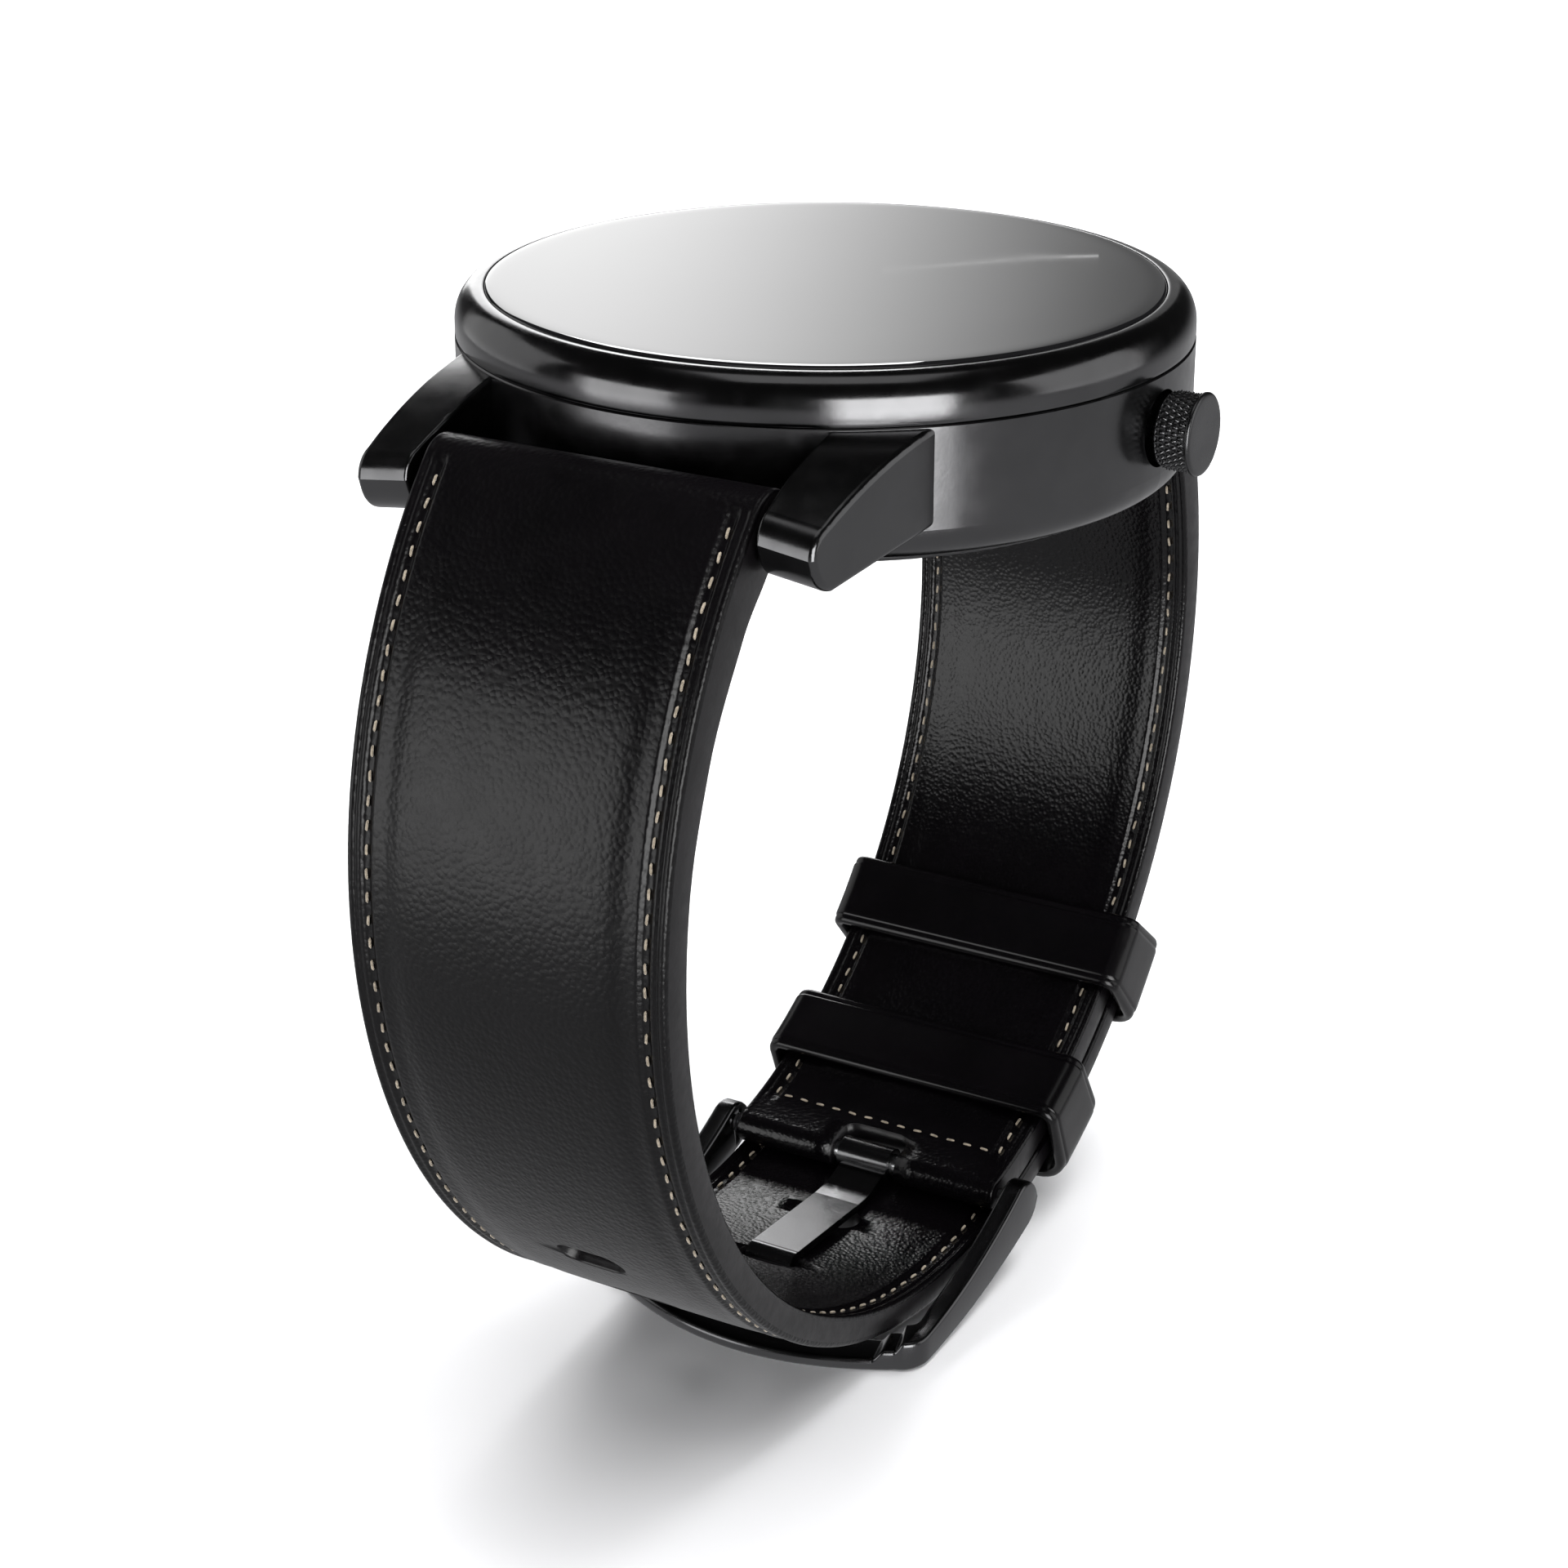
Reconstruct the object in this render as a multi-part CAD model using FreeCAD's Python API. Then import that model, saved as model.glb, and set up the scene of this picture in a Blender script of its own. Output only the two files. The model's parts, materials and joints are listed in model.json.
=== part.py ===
"""Round smartwatch on a closed two-piece leather band with a pin buckle.

Millimetres.  +Z points out of the cover glass, +X to the crown, -Y to the long strap.
The origin is the centre of the flat sensor window on the back of the case.
Angles on the band are measured in the YZ plane, from +Y towards +Z.
"""
import FreeCAD, Part
import math
import os

from FreeCAD import Vector

os.makedirs("parts", exist_ok=True)

# ---------------------------------------------------------------- driving dimensions
CASE_R = 22.5               # outside of the drum-shaped mid case
BACK_Z = 1.1                # outer face of the case back
DRUM_BOTTOM_Z = 1.6
DRUM_EDGE_R = 2.0           # rounding of the drum's lower edge
SEAM_Z = 9.6                # joint between mid case and bezel ring
CAVITY_R = 19.8
FLANGE_Z = (2.5, 3.3)       # ring inside the case that the back screws into
FLANGE_IN_R = 16.4
BACK_R = 20.2
BEZEL_SEAT_R = 20.9
BEZEL_SEAT_Z = 8.8
BEZEL_TOP_Z = 12.45
GLASS_R = 20.6
GLASS_Z = (11.4, 12.6)
WINDOW_R = 12.0

CROWN_Z = 6.35              # height of the crown's axis
CROWN_KNOB_X = (23.0, 24.85)
CROWN_CAP_X = 25.16
CROWN_R = 2.35

LUG_IN_X = 11.15            # half of the gap between a pair of lugs
LUG_LEAN = 0.13             # fall of a lug's top per mm towards its outer side
LUG_BAR_Y = 25.2
LUG_BAR_Z = 5.5

BAND_CENTRE = (0.0, -17.4)  # (y, z) centre of the short strap's arcs
SHORT_IN_R = 33.95
SHORT_OUT_R = 36.2
LONG_CENTRE = (1.04, -18.0)  # (y, z) centre of the long strap's arcs
LONG_OUT_R = 37.4
LONG_IN_R = 35.5
LEATHER = 0.8               # outer leather
LINING = 0.6                # lining against the wrist
STRAP_TOP_HALF = 10.87      # half width at the lugs
STRAP_LOW_HALF = 10.15      # half width at the buckle
STRAP_LOW_Z = -54.0
CHANNEL_INSET = 1.35        # stitch line to the strap's edge
CHANNEL_HALF = 0.45
CHANNEL_DEPTH = 0.25

BUCKLE_BAR = (6.9, -51.75)  # (y, z) axis of the buckle's spring bar
BUCKLE_IN_X = 10.75
BUCKLE_OUT_X = 12.2
BUCKLE_REST_Z = -56.8       # underside of the buckle's front bar
TONGUE_HALF = 1.7
HOLE_HALF_LENGTH = 2.2
HOLE_R = 1.15
HOLE_PITCH = 8.0
TONGUE_HOLE_Y = -6.75

BAND_SPAN_Y = 50.0          # a box this large holds the whole band
BAND_SPAN_Z = (-60.0, 12.0)

KEEPER_IN_R = 32.9
KEEPER_OUT_R = 40.4
KEEPER_WALL = 0.85
KEEPER_HALF = 11.55
KEEPER_SPAN = 9.4           # degrees of the band that a keeper covers
FREE_KEEPER_AT = -43.7
FIXED_KEEPER_AT = -63.3


# ---------------------------------------------------------------- helpers
def disc(radius, low, high, x=0.0, y=0.0):
    return Part.makeCylinder(radius, high - low, Vector(x, y, low))


def ring(outer, inner, low, high, x=0.0, y=0.0):
    return disc(outer, low, high, x, y).cut(disc(inner, low, high, x, y))


def box(x0, x1, y0, y1, z0, z1):
    return Part.makeBox(x1 - x0, y1 - y0, z1 - z0, Vector(x0, y0, z0))


def rod_x(radius, x0, x1, y, z):
    return Part.makeCylinder(radius, x1 - x0, Vector(x0, y, z), Vector(1, 0, 0))


def at(centre, radius, degrees):
    """Point of the YZ plane at a polar position about centre."""
    angle = math.radians(degrees)
    return Vector(0, centre[0] + radius * math.cos(angle), centre[1] + radius * math.sin(angle))


def arc(centre, radius, start, end):
    points = [at(centre, radius, a) for a in (start, (start + end) / 2, end)]
    return Part.Arc(*points).toShape()


def curve(*points):
    return Part.Arc(*[Vector(*p) for p in points]).toShape()


def line(a, b):
    return Part.LineSegment(Vector(*a), Vector(*b)).toShape()


def prism(edges, direction):
    """Closed outline pushed along a direction."""
    wire = Part.Wire(Part.__sortEdges__(edges))
    return Part.Face(wire).extrude(Vector(*direction))


def prism_x(edges, x0, x1):
    solid = prism(edges, (x1 - x0, 0, 0))
    solid.translate(Vector(x0, 0, 0))
    return solid


def polygon(points, direction):
    wire = Part.makePolygon([Vector(*p) for p in points + points[:1]])
    return Part.Face(wire).extrude(Vector(*direction))


def turned(edges):
    """Outline in the XZ plane turned about the Z axis."""
    wire = Part.Wire(Part.__sortEdges__(edges))
    return Part.Face(wire).revolve(Vector(0, 0, 0), Vector(0, 0, 1), 360)


def outline(points):
    """Straight edges in the XZ plane through (radius, z) points."""
    corners = [(r, 0, z) for r, z in points]
    return [line(a, b) for a, b in zip(corners, corners[1:])]


def joined(solids):
    whole = solids[0]
    for solid in solids[1:]:
        whole = whole.fuse(solid)
    return whole.removeSplitter()


def mirrored_x(solid):
    return solid.mirror(Vector(0, 0, 0), Vector(1, 0, 0))


def mirrored_y(solid):
    return solid.mirror(Vector(0, 0, 0), Vector(0, 1, 0))


def group(solids):
    return Part.makeCompound(solids)


# ---------------------------------------------------------------- case
def lug():
    """One lug at +X, +Y: a tapering horn whose arched top leans outwards, with a rounded nose."""
    width = 16.5 - LUG_IN_X
    top = curve((0, 14.0, 10.25), (0, 21.4, 9.05), (0, 26.7, 7.1))
    nose = curve((0, 26.7, 7.1), (0, 27.6, 6.45), (0, 27.9, 5.5))
    chin = curve((0, 27.65, 4.8), (0, 27.0, 3.8), (0, 25.9, 3.3))
    sides = [line((0, 27.9, 5.5), (0, 27.65, 4.8)), line((0, 25.9, 3.3), (0, 14.0, 4.5)),
             line((0, 14.0, 4.5), (0, 14.0, 10.25))]
    horn = prism([top, nose, chin] + sides, (width, 0, -LUG_LEAN * width))
    horn.translate(Vector(LUG_IN_X, 0, 0))
    plan = polygon([(LUG_IN_X, 12, 0), (15.9, 12, 0), (15.85, 15.6, 0), (14.85, 28.5, 0),
                    (LUG_IN_X + 0.25, 28.5, 0), (LUG_IN_X, 24, 0)], (0, 0, SEAM_Z))
    horn = horn.common(plan)
    along = [e for e in horn.Edges if e.CenterOfMass.y > 16 and e.BoundBox.YLength > 0.2]
    outer_rims = [e for e in along if e.CenterOfMass.x > 14.5]
    horn = horn.makeFillet(0.38, outer_rims)
    inner_rims = [e for e in horn.Edges if e.CenterOfMass.x < LUG_IN_X + 0.3 and e.CenterOfMass.y > 18
                  and e.CenterOfMass.z > 3.3 and e.BoundBox.YLength > 0.2]
    return horn.makeFillet(0.18, inner_rims)


def mid_case():
    top_chamfer = 0.08
    edge = curve((CASE_R - DRUM_EDGE_R, 0, DRUM_BOTTOM_Z),
                 (CASE_R - DRUM_EDGE_R + DRUM_EDGE_R * math.sin(math.pi / 4), 0,
                  DRUM_BOTTOM_Z + DRUM_EDGE_R * (1 - math.cos(math.pi / 4))),
                 (CASE_R, 0, DRUM_BOTTOM_Z + DRUM_EDGE_R))
    upper = outline([(CASE_R, DRUM_BOTTOM_Z + DRUM_EDGE_R), (CASE_R, SEAM_Z - top_chamfer),
                     (CASE_R - top_chamfer, SEAM_Z), (0, SEAM_Z), (0, DRUM_BOTTOM_Z),
                     (CASE_R - DRUM_EDGE_R, DRUM_BOTTOM_Z)])
    drum = turned([edge] + upper)
    lugs = [lug()]
    lugs += [mirrored_x(lugs[0])]
    lugs += [mirrored_y(each) for each in lugs]
    body = joined([drum] + lugs)
    holes = [disc(BACK_R + 0.05, 0, FLANGE_Z[0]), disc(FLANGE_IN_R, 2, 4),
             disc(CAVITY_R, FLANGE_Z[1], SEAM_Z + 1), disc(BEZEL_SEAT_R, BEZEL_SEAT_Z, SEAM_Z + 1),
             rod_x(2.3, 21.1, 24, 0, CROWN_Z), rod_x(1.52, 19, 21.5, 0, CROWN_Z)]
    for y in (-LUG_BAR_Y, LUG_BAR_Y):
        socket = rod_x(0.45, LUG_IN_X - 0.5, LUG_IN_X + 1.1, y, LUG_BAR_Z)
        holes += [socket, mirrored_x(socket)]
    for x, y in screw_places():
        holes.append(disc(0.5, FLANGE_Z[0], FLANGE_Z[1], x, y))
    for hole in holes:
        body = body.cut(hole)
    return body


def bezel_ring():
    outer = curve((22.44, 0, 10.0), (21.95, 0, 11.75), (20.85, 0, BEZEL_TOP_Z))
    rest = outline([(20.85, BEZEL_TOP_Z), (GLASS_R + 0.08, BEZEL_TOP_Z - 0.06), (GLASS_R + 0.08, 11.2),
                    (19.55, 11.2), (19.55, 8.85), (BEZEL_SEAT_R - 0.05, 8.85),
                    (BEZEL_SEAT_R - 0.05, SEAM_Z), (22.36, SEAM_Z), (22.44, 9.7), (22.44, 10.0)])
    return turned([outer] + rest)


def cover_glass():
    edge = curve((GLASS_R, 0, 12.2), (20.25, 0, 12.48), (19.4, 0, GLASS_Z[1]))
    rest = outline([(19.4, GLASS_Z[1]), (0, GLASS_Z[1]), (0, GLASS_Z[0]), (GLASS_R, GLASS_Z[0]),
                    (GLASS_R, 12.2)])
    return turned([edge] + rest)


def screw_places():
    """Four back screws, turned clear of the lugs and the crown."""
    return [(18.3 * math.cos(math.radians(a)), 18.3 * math.sin(math.radians(a)))
            for a in (45, 135, 225, 315)]


def pin_places():
    return [(x, -15.0) for x in (-1.6, 1.6)]


def case_back():
    plate = disc(BACK_R, BACK_Z, FLANGE_Z[0])
    plate = plate.makeFillet(0.35, [e for e in plate.Edges if abs(e.CenterOfMass.z - BACK_Z) < 0.01])
    holes = [disc(11.0, 0, 3), disc(WINDOW_R + 0.05, 0, 1.7), ring(19.6, 18.95, 2.2, 3)]
    holes += [disc(0.62, 0, 3, x, y) for x, y in screw_places()]
    holes += [disc(1.15, 0, 1.75, x, y) for x, y in screw_places()]
    holes += [disc(0.85, 0, 3, x, y) for x, y in pin_places()]
    for hole in holes:
        plate = plate.cut(hole)
    return plate


def sensor_window():
    window = disc(WINDOW_R, 0, 1.7)
    return window.makeChamfer(0.6, [e for e in window.Edges if abs(e.CenterOfMass.z) < 0.01])


def back_screws():
    screws = []
    for x, y in screw_places():
        head = disc(1.1, BACK_Z + 0.05, 1.75, x, y).cut(disc(0.5, 0, 1.4, x, y))
        screws.append(head.fuse(disc(0.48, 1.7, 3.2, x, y)))
    return group(screws)


def charging_pins():
    return group([disc(0.8, BACK_Z + 0.02, 3.1, x, y) for x, y in pin_places()])


# ---------------------------------------------------------------- electronics
def sensor_board():
    return disc(10.3, 2.6, 3.1).cut(box(-3, 3, 9.2, 11, 2, 4))


def sensor_leds():
    """Three emitters by the middle and four photodiodes around them, under the sensor board."""
    emitters = [box(x - 0.8, x + 0.8, -0.7, 0.7, 1.95, 2.6) for x in (-2.4, 0.0, 2.4)]
    diodes = [box(x - 1.1, x + 1.1, y - 1.1, y + 1.1, 1.95, 2.6)
              for x, y in ((7.4, 0), (-7.4, 0), (0, 7.0), (0, -7.0))]
    return group(emitters + diodes)


def light_baffle():
    return ring(5.2, 4.5, 1.72, 2.6)


BATTERY = (-16.0, 11.0, -10.0, 10.0, 3.6, 6.9)
MOTOR_AT = (0.0, -14.9)
SPEAKER = (-6.0, 6.0, 12.0, 17.0, 3.9, 6.9)
SWITCH = (13.9, 16.6, -2.4, 2.4, 5.0, 7.35)
STUDS = [(-11.0, -13.4), (-11.0, 13.4), (12.4, -12.4), (12.4, 12.4)]


def inner_frame():
    """Moulded tray with a pocket for each part that it holds."""
    tray = disc(CAVITY_R - 0.15, FLANGE_Z[1], 7.3)
    x0, x1, y0, y1, z0, _ = BATTERY
    pockets = [box(x0 - 0.3, x1 + 0.3, y0 - 0.3, y1 + 0.3, z0 - 0.1, 8),
               disc(4.3, 3.7, 8, *MOTOR_AT), box(-6.3, 6.3, 11.7, 17.3, 3.8, 8),
               box(12.0, 20.5, -4.2, 4.2, 3.9, 8), disc(10.4, 3.0, 3.6),
               box(-3.0, 3.0, -16.4, -13.8, 3.0, 3.75)]
    pockets += [disc(0.42, 5.6, 7.4, x, y) for x, y in STUDS]
    for pocket in pockets:
        tray = tray.cut(pocket)
    return tray


def battery():
    x0, x1, y0, y1, z0, z1 = BATTERY
    cell = box(x0, x1, y0, y1, z0, z1)
    return cell.makeFillet(1.2, [e for e in cell.Edges if abs(e.CenterOfMass.z - (z0 + z1) / 2) < 0.01])


def battery_flex():
    """Two tabs from the cell to its socket on the board, as one bent strip."""
    lower = box(-12.0, -9.0, 8.0, 9.9, 6.92, 7.12)
    return lower.fuse(box(-12.0, -9.0, 9.7, 9.9, 6.92, 7.38)).removeSplitter()


def vibration_motor():
    return disc(4.0, 3.9, 6.8, *MOTOR_AT)


def speaker():
    x0, x1, y0, y1, z0, z1 = SPEAKER
    body = box(x0, x1, y0, y1, z0, z1)
    slots = [box(x - 0.4, x + 0.4, y0 + 1, y1 - 1, z0, z0 + 0.5) for x in (-3.0, -1.0, 1.0, 3.0)]
    for slot in slots:
        body = body.cut(slot)
    return body


def mainboard():
    board = disc(18.3, 7.4, 8.1)
    holes = [disc(0.45, 7, 9, x, y) for x, y in STUDS]
    holes += [box(-4.5, 4.5, -19, -17.2, 7, 9), box(17.3, 19, -2.3, 2.3, 7, 9)]
    for hole in holes:
        board = board.cut(hole)
    return board


def shield_cans():
    cans = [box(-10.5, 0.5, -7.5, 6.5, 8.1, 9.35), box(2.0, 10.5, -9.0, 1.0, 8.1, 9.35)]
    return group([can.makeFillet(0.5, [e for e in can.Edges if e.CenterOfMass.z > 9.3]) for can in cans])


def board_chips():
    places = [(4.5, 4.0, 2.2), (9.0, 4.5, 1.5), (5.0, 9.5, 1.8), (-3.5, 10.5, 1.4), (-8.0, 10.0, 1.2),
              (-3.5, -11.5, 1.6), (11.8, -1.0, 0.9)]
    return group([box(x - h, x + h, y - h, y + h, 8.1, 8.9) for x, y, h in places])


def board_screws():
    return group([disc(0.4, 5.8, 8.1, x, y).fuse(disc(0.85, 8.1, 8.6, x, y)) for x, y in STUDS])


def microphone():
    return box(-14.6, -11.4, -6.0, -3.6, 8.1, 9.0)


def antenna():
    """Strip along the 9 o'clock side, just inside the case wall."""
    strip = ring(19.3, 18.7, 7.5, 8.7)
    return strip.common(box(-20, -9, -20, 20, 7, 10))


def display_panel():
    return disc(18.9, 10.25, 11.15)


def touch_layer():
    return disc(19.35, 11.15, GLASS_Z[0])


def glass_gasket():
    return ring(20.45, 19.6, 11.2, GLASS_Z[0])


def display_plate():
    """Stiffener behind the display, with a window for its flex."""
    return disc(19.2, 9.85, 10.25).cut(box(-4.5, 4.5, -19.5, -16.6, 9, 11))


def display_flex():
    """Flat cable from the display's lower edge down to the board."""
    down = box(-3.5, 3.5, -18.1, -17.9, 8.1, 10.25)
    foot = box(-3.5, 3.5, -17.9, -14.6, 8.1, 8.3)
    return down.fuse(foot).removeSplitter()


def back_gasket():
    return ring(19.55, 19.0, 2.22, FLANGE_Z[0])


# ---------------------------------------------------------------- crown
def crown_tube():
    tube = rod_x(1.5, 19.4, 22.3, 0, CROWN_Z).cut(rod_x(0.72, 19, 23, 0, CROWN_Z))
    groove = rod_x(1.6, 21.85, 22.2, 0, CROWN_Z).cut(rod_x(1.2, 21, 23, 0, CROWN_Z))
    return tube.cut(groove)


def crown_seal():
    return rod_x(1.58, 21.87, 22.18, 0, CROWN_Z).cut(rod_x(1.22, 21, 23, 0, CROWN_Z))


def crown_knob():
    """Fluted barrel with a plain skirt that slides over the tube."""
    x0, x1 = CROWN_KNOB_X
    flutes = 36
    rim = []
    for step in range(2 * flutes):
        radius = CROWN_R if step % 2 else CROWN_R - 0.14
        angle = math.pi * step / flutes
        rim.append((x0 + 0.2, radius * math.cos(angle), CROWN_Z + radius * math.sin(angle)))
    barrel = polygon(rim, (x1 - x0 - 0.2, 0, 0))
    shoulder = Part.makeCone(2.08, CROWN_R - 0.14, 0.2, Vector(x0, 0, CROWN_Z), Vector(1, 0, 0))
    skirt = rod_x(2.08, 21.75, x0, 0, CROWN_Z).cut(rod_x(1.62, 21, x0 - 0.1, 0, CROWN_Z))
    knob = joined([barrel, shoulder, skirt])
    return knob.cut(rod_x(0.66, 22, x1 - 0.5, 0, CROWN_Z))


def crown_cap():
    cap = rod_x(CROWN_R + 0.1, CROWN_KNOB_X[1], CROWN_CAP_X, 0, CROWN_Z)
    return cap.makeChamfer(0.14, [e for e in cap.Edges if abs(e.CenterOfMass.x - CROWN_CAP_X) < 0.01])


def crown_stem():
    """Stem from the knob to the switch, with a groove for the retaining clip."""
    stem = rod_x(0.66, 17.65, CROWN_KNOB_X[1] - 0.5, 0, CROWN_Z)
    groove = rod_x(1.0, 18.95, 19.3, 0, CROWN_Z).cut(rod_x(0.45, 18, 20, 0, CROWN_Z))
    return stem.cut(groove)


def crown_clip():
    clip = rod_x(1.3, 19.0, 19.25, 0, CROWN_Z).cut(rod_x(0.49, 18, 20, 0, CROWN_Z))
    return clip.cut(box(18, 20, -0.4, 0.4, CROWN_Z, CROWN_Z + 2))


def encoder_wheel():
    """Toothed disc on the stem that the turn sensor reads."""
    wheel = rod_x(1.5, 18.25, 18.6, 0, CROWN_Z)
    teeth = 12
    for step in range(teeth):
        angle = 2 * math.pi * step / teeth
        wheel = wheel.cut(rod_x(0.2, 18, 19, 1.5 * math.cos(angle), CROWN_Z + 1.5 * math.sin(angle)))
    return wheel.cut(rod_x(0.66, 18, 19, 0, CROWN_Z))


def encoder_sensor():
    return box(17.2, 18.9, -1.0, 1.0, 3.95, 4.6)


def crown_switch():
    x0, x1, y0, y1, z0, z1 = SWITCH
    return box(x0, x1, y0, y1, z0, z1).cut(rod_x(0.75, x1 - 1.4, x1 + 1, 0, CROWN_Z))


def switch_plunger():
    return rod_x(0.7, 15.8, 17.62, 0, CROWN_Z)


# ---------------------------------------------------------------- spring bars
def bar_tube(radius, half, y, z):
    return rod_x(radius, -half, half, y, z).cut(rod_x(radius - 0.25, -half, half, y, z))


def bar_spring(coil_r, half, y, z):
    """Coil that holds a bar's two tips apart, at its squeezed length."""
    wire_r = 0.13
    helix = Part.makeHelix(1.0, 2 * half, coil_r)
    section = Part.Wire(Part.makeCircle(wire_r, Vector(coil_r, 0, 0), Vector(0, 1, 0)))
    coil = Part.Wire(helix).makePipeShell([section], True, True)
    coil.rotate(Vector(0, 0, 0), Vector(0, 1, 0), 90)
    coil.translate(Vector(-half, y, z))
    return coil


def bar_tip(gap_half, tube_half, tube_r, side, y, z):
    """Telescoping tip: a plug inside the tube, a shoulder and the point in the lug's hole."""
    plug = rod_x(tube_r - 0.28, tube_half - 3.2, gap_half - 0.12, y, z)
    shoulder = rod_x(tube_r - 0.05, gap_half - 0.25, gap_half - 0.08, y, z)
    point = rod_x(0.4, gap_half - 0.12, gap_half + 0.85, y, z)
    tip = joined([plug, shoulder, point])
    return tip if side > 0 else mirrored_x(tip)


# ---------------------------------------------------------------- straps
# Angles of the long strap: its lug end, the end of its padding, the start of its rounded tip
# and its square end.  Then the same for the short strap.
LONG_LUG = 138.15
LONG_FULL = 205.0
LONG_TIP = 312.5
LONG_TAIL = 324.5
LONG_WRAP_R = 2.18          # fold round the spring bar at the lugs
SHORT_LUG = 42.1
SHORT_FULL = 12.0
SHORT_END = -78.6
SHORT_WRAP_R = 2.1
END_WRAP_R = 1.15           # fold round the buckle's spring bar
LONG_STITCH = (145.0, 311.0)
SHORT_STITCH = (31.0, -70.5)


def strap_half_at(z):
    """Half width of a strap, which tapers from the lugs down to the buckle."""
    slope = (STRAP_TOP_HALF - STRAP_LOW_HALF) / (LUG_BAR_Z - STRAP_LOW_Z)
    return STRAP_LOW_HALF + slope * (z - STRAP_LOW_Z)


def tapered(left, right):
    """Block through the whole band between two offsets from its tapering sides.

    An offset is a pair: the side of the band (-1 or 1) and the distance past its edge.
    """
    low_z, high_z = BAND_SPAN_Z
    corners = []
    for z, order in ((low_z, (left, right)), (high_z, (right, left))):
        for side, past in order:
            corners.append((side * (strap_half_at(z) + past), -BAND_SPAN_Y, z))
    return polygon(corners, (0, 2 * BAND_SPAN_Y, 0))


def radial_slot(centre, degrees, half_length, radius, r0, r1):
    """Oblong hole across the band, cut along the band's radius."""
    ends = []
    direction = at(centre, 1, degrees) - at(centre, 0, degrees)
    for x in (-half_length + radius, half_length - radius):
        start = at(centre, r0, degrees) + Vector(x, 0, 0)
        ends.append(Part.makeCylinder(radius, r1 - r0, start, direction))
    slab = Part.makeBox(2 * (half_length - radius), 2 * radius, r1 - r0,
                        Vector(-(half_length - radius), -radius, r0))
    slab.rotate(Vector(0, 0, 0), Vector(1, 0, 0), degrees - 90)
    slab.translate(Vector(0, centre[0], centre[1]))
    return joined(ends + [slab])


def sector(centre, r0, r1, start, end):
    """Part of a band of constant thickness."""
    edges = [arc(centre, r0, start, end), arc(centre, r1, start, end),
             line(at(centre, r0, start), at(centre, r1, start)),
             line(at(centre, r0, end), at(centre, r1, end))]
    return prism_x(edges, -12, 12)


def hole_angles():
    first = math.degrees(math.asin((TONGUE_HOLE_Y - LONG_CENTRE[0]) / LONG_IN_R)) + 270
    step = math.degrees(HOLE_PITCH / LONG_IN_R)
    return [first + n * step for n in range(-3, 4)]


def long_layer(outer_r, skin):
    """Slice of the long strap between outer_r and skin millimetres above its inner face."""
    lug_r = LONG_OUT_R - 2 * LONG_WRAP_R + skin
    middle = (LONG_LUG + LONG_FULL) / 2
    inner_r = LONG_IN_R + skin
    swell = curve(at(LONG_CENTRE, lug_r, LONG_LUG), at(LONG_CENTRE, inner_r - 1.15, middle),
                  at(LONG_CENTRE, inner_r, LONG_FULL))
    edges = [swell, arc(LONG_CENTRE, inner_r, LONG_FULL, LONG_TAIL),
             line(at(LONG_CENTRE, inner_r, LONG_TAIL), at(LONG_CENTRE, outer_r, LONG_TAIL)),
             arc(LONG_CENTRE, outer_r, LONG_LUG, LONG_TAIL),
             line(at(LONG_CENTRE, lug_r, LONG_LUG), at(LONG_CENTRE, outer_r, LONG_LUG))]
    return prism_x(edges, -12, 12)


def tail_trim():
    """What a rounded tip leaves off the square end of the long strap."""
    length = math.radians(LONG_TAIL - LONG_TIP) * LONG_OUT_R
    half = strap_half_at(-40.0)
    block = box(-13, 13, -length - 3, 0, 32, 42)
    tip = Part.Ellipse(Vector(0, 0, 0), half + 0.6, length)
    tip = Part.Face(Part.Wire(tip.toShape())).extrude(Vector(0, 0, 12))
    tip.translate(Vector(0, 0, 31))
    trim = block.cut(tip)
    trim.rotate(Vector(0, 0, 0), Vector(1, 0, 0), LONG_TIP - 90)
    trim.translate(Vector(0, LONG_CENTRE[0], LONG_CENTRE[1]))
    return trim


def finish_long(layer):
    """Taper, rounded tip and buckle holes, the same in every layer."""
    layer = layer.common(tapered((-1, 0), (1, 0))).cut(tail_trim())
    for angle in hole_angles():
        layer = layer.cut(radial_slot(LONG_CENTRE, angle, HOLE_HALF_LENGTH, HOLE_R, 34, 39))
    return layer


def channel(centre, r0, r1, start, end, inset, half):
    """Two strips along the band, inset from its sides; they follow the taper."""
    slab = sector(centre, r0, r1, start, end)
    edges = (-inset - half, -inset + half)
    return [slab.common(tapered((side, edges[0]), (side, edges[1]))) for side in (-1, 1)]


def without(solid, cutters):
    for cutter in cutters:
        solid = solid.cut(cutter)
    return solid


def long_strap_outer():
    """Outer leather, which folds round the spring bar at the lugs."""
    bar = (-LUG_BAR_Y, LUG_BAR_Z)
    skin = sector(LONG_CENTRE, LONG_OUT_R - LEATHER, LONG_OUT_R, LONG_LUG, LONG_TAIL)
    skin = without(skin, [rod_x(LONG_WRAP_R - 0.1, -12, 12, *bar)])
    fold = rod_x(LONG_WRAP_R, -12, 12, *bar)
    whole = finish_long(joined([skin, fold]).cut(rod_x(1.0, -12, 12, *bar)))
    return without(whole, channel(LONG_CENTRE, LONG_OUT_R - CHANNEL_DEPTH, LONG_OUT_R + 1,
                                  *LONG_STITCH, CHANNEL_INSET, CHANNEL_HALF))


def long_strap_core():
    layer = long_layer(LONG_OUT_R - LEATHER, LINING)
    layer = layer.cut(rod_x(LONG_WRAP_R, -12, 12, -LUG_BAR_Y, LUG_BAR_Z))
    return finish_long(layer)


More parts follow.
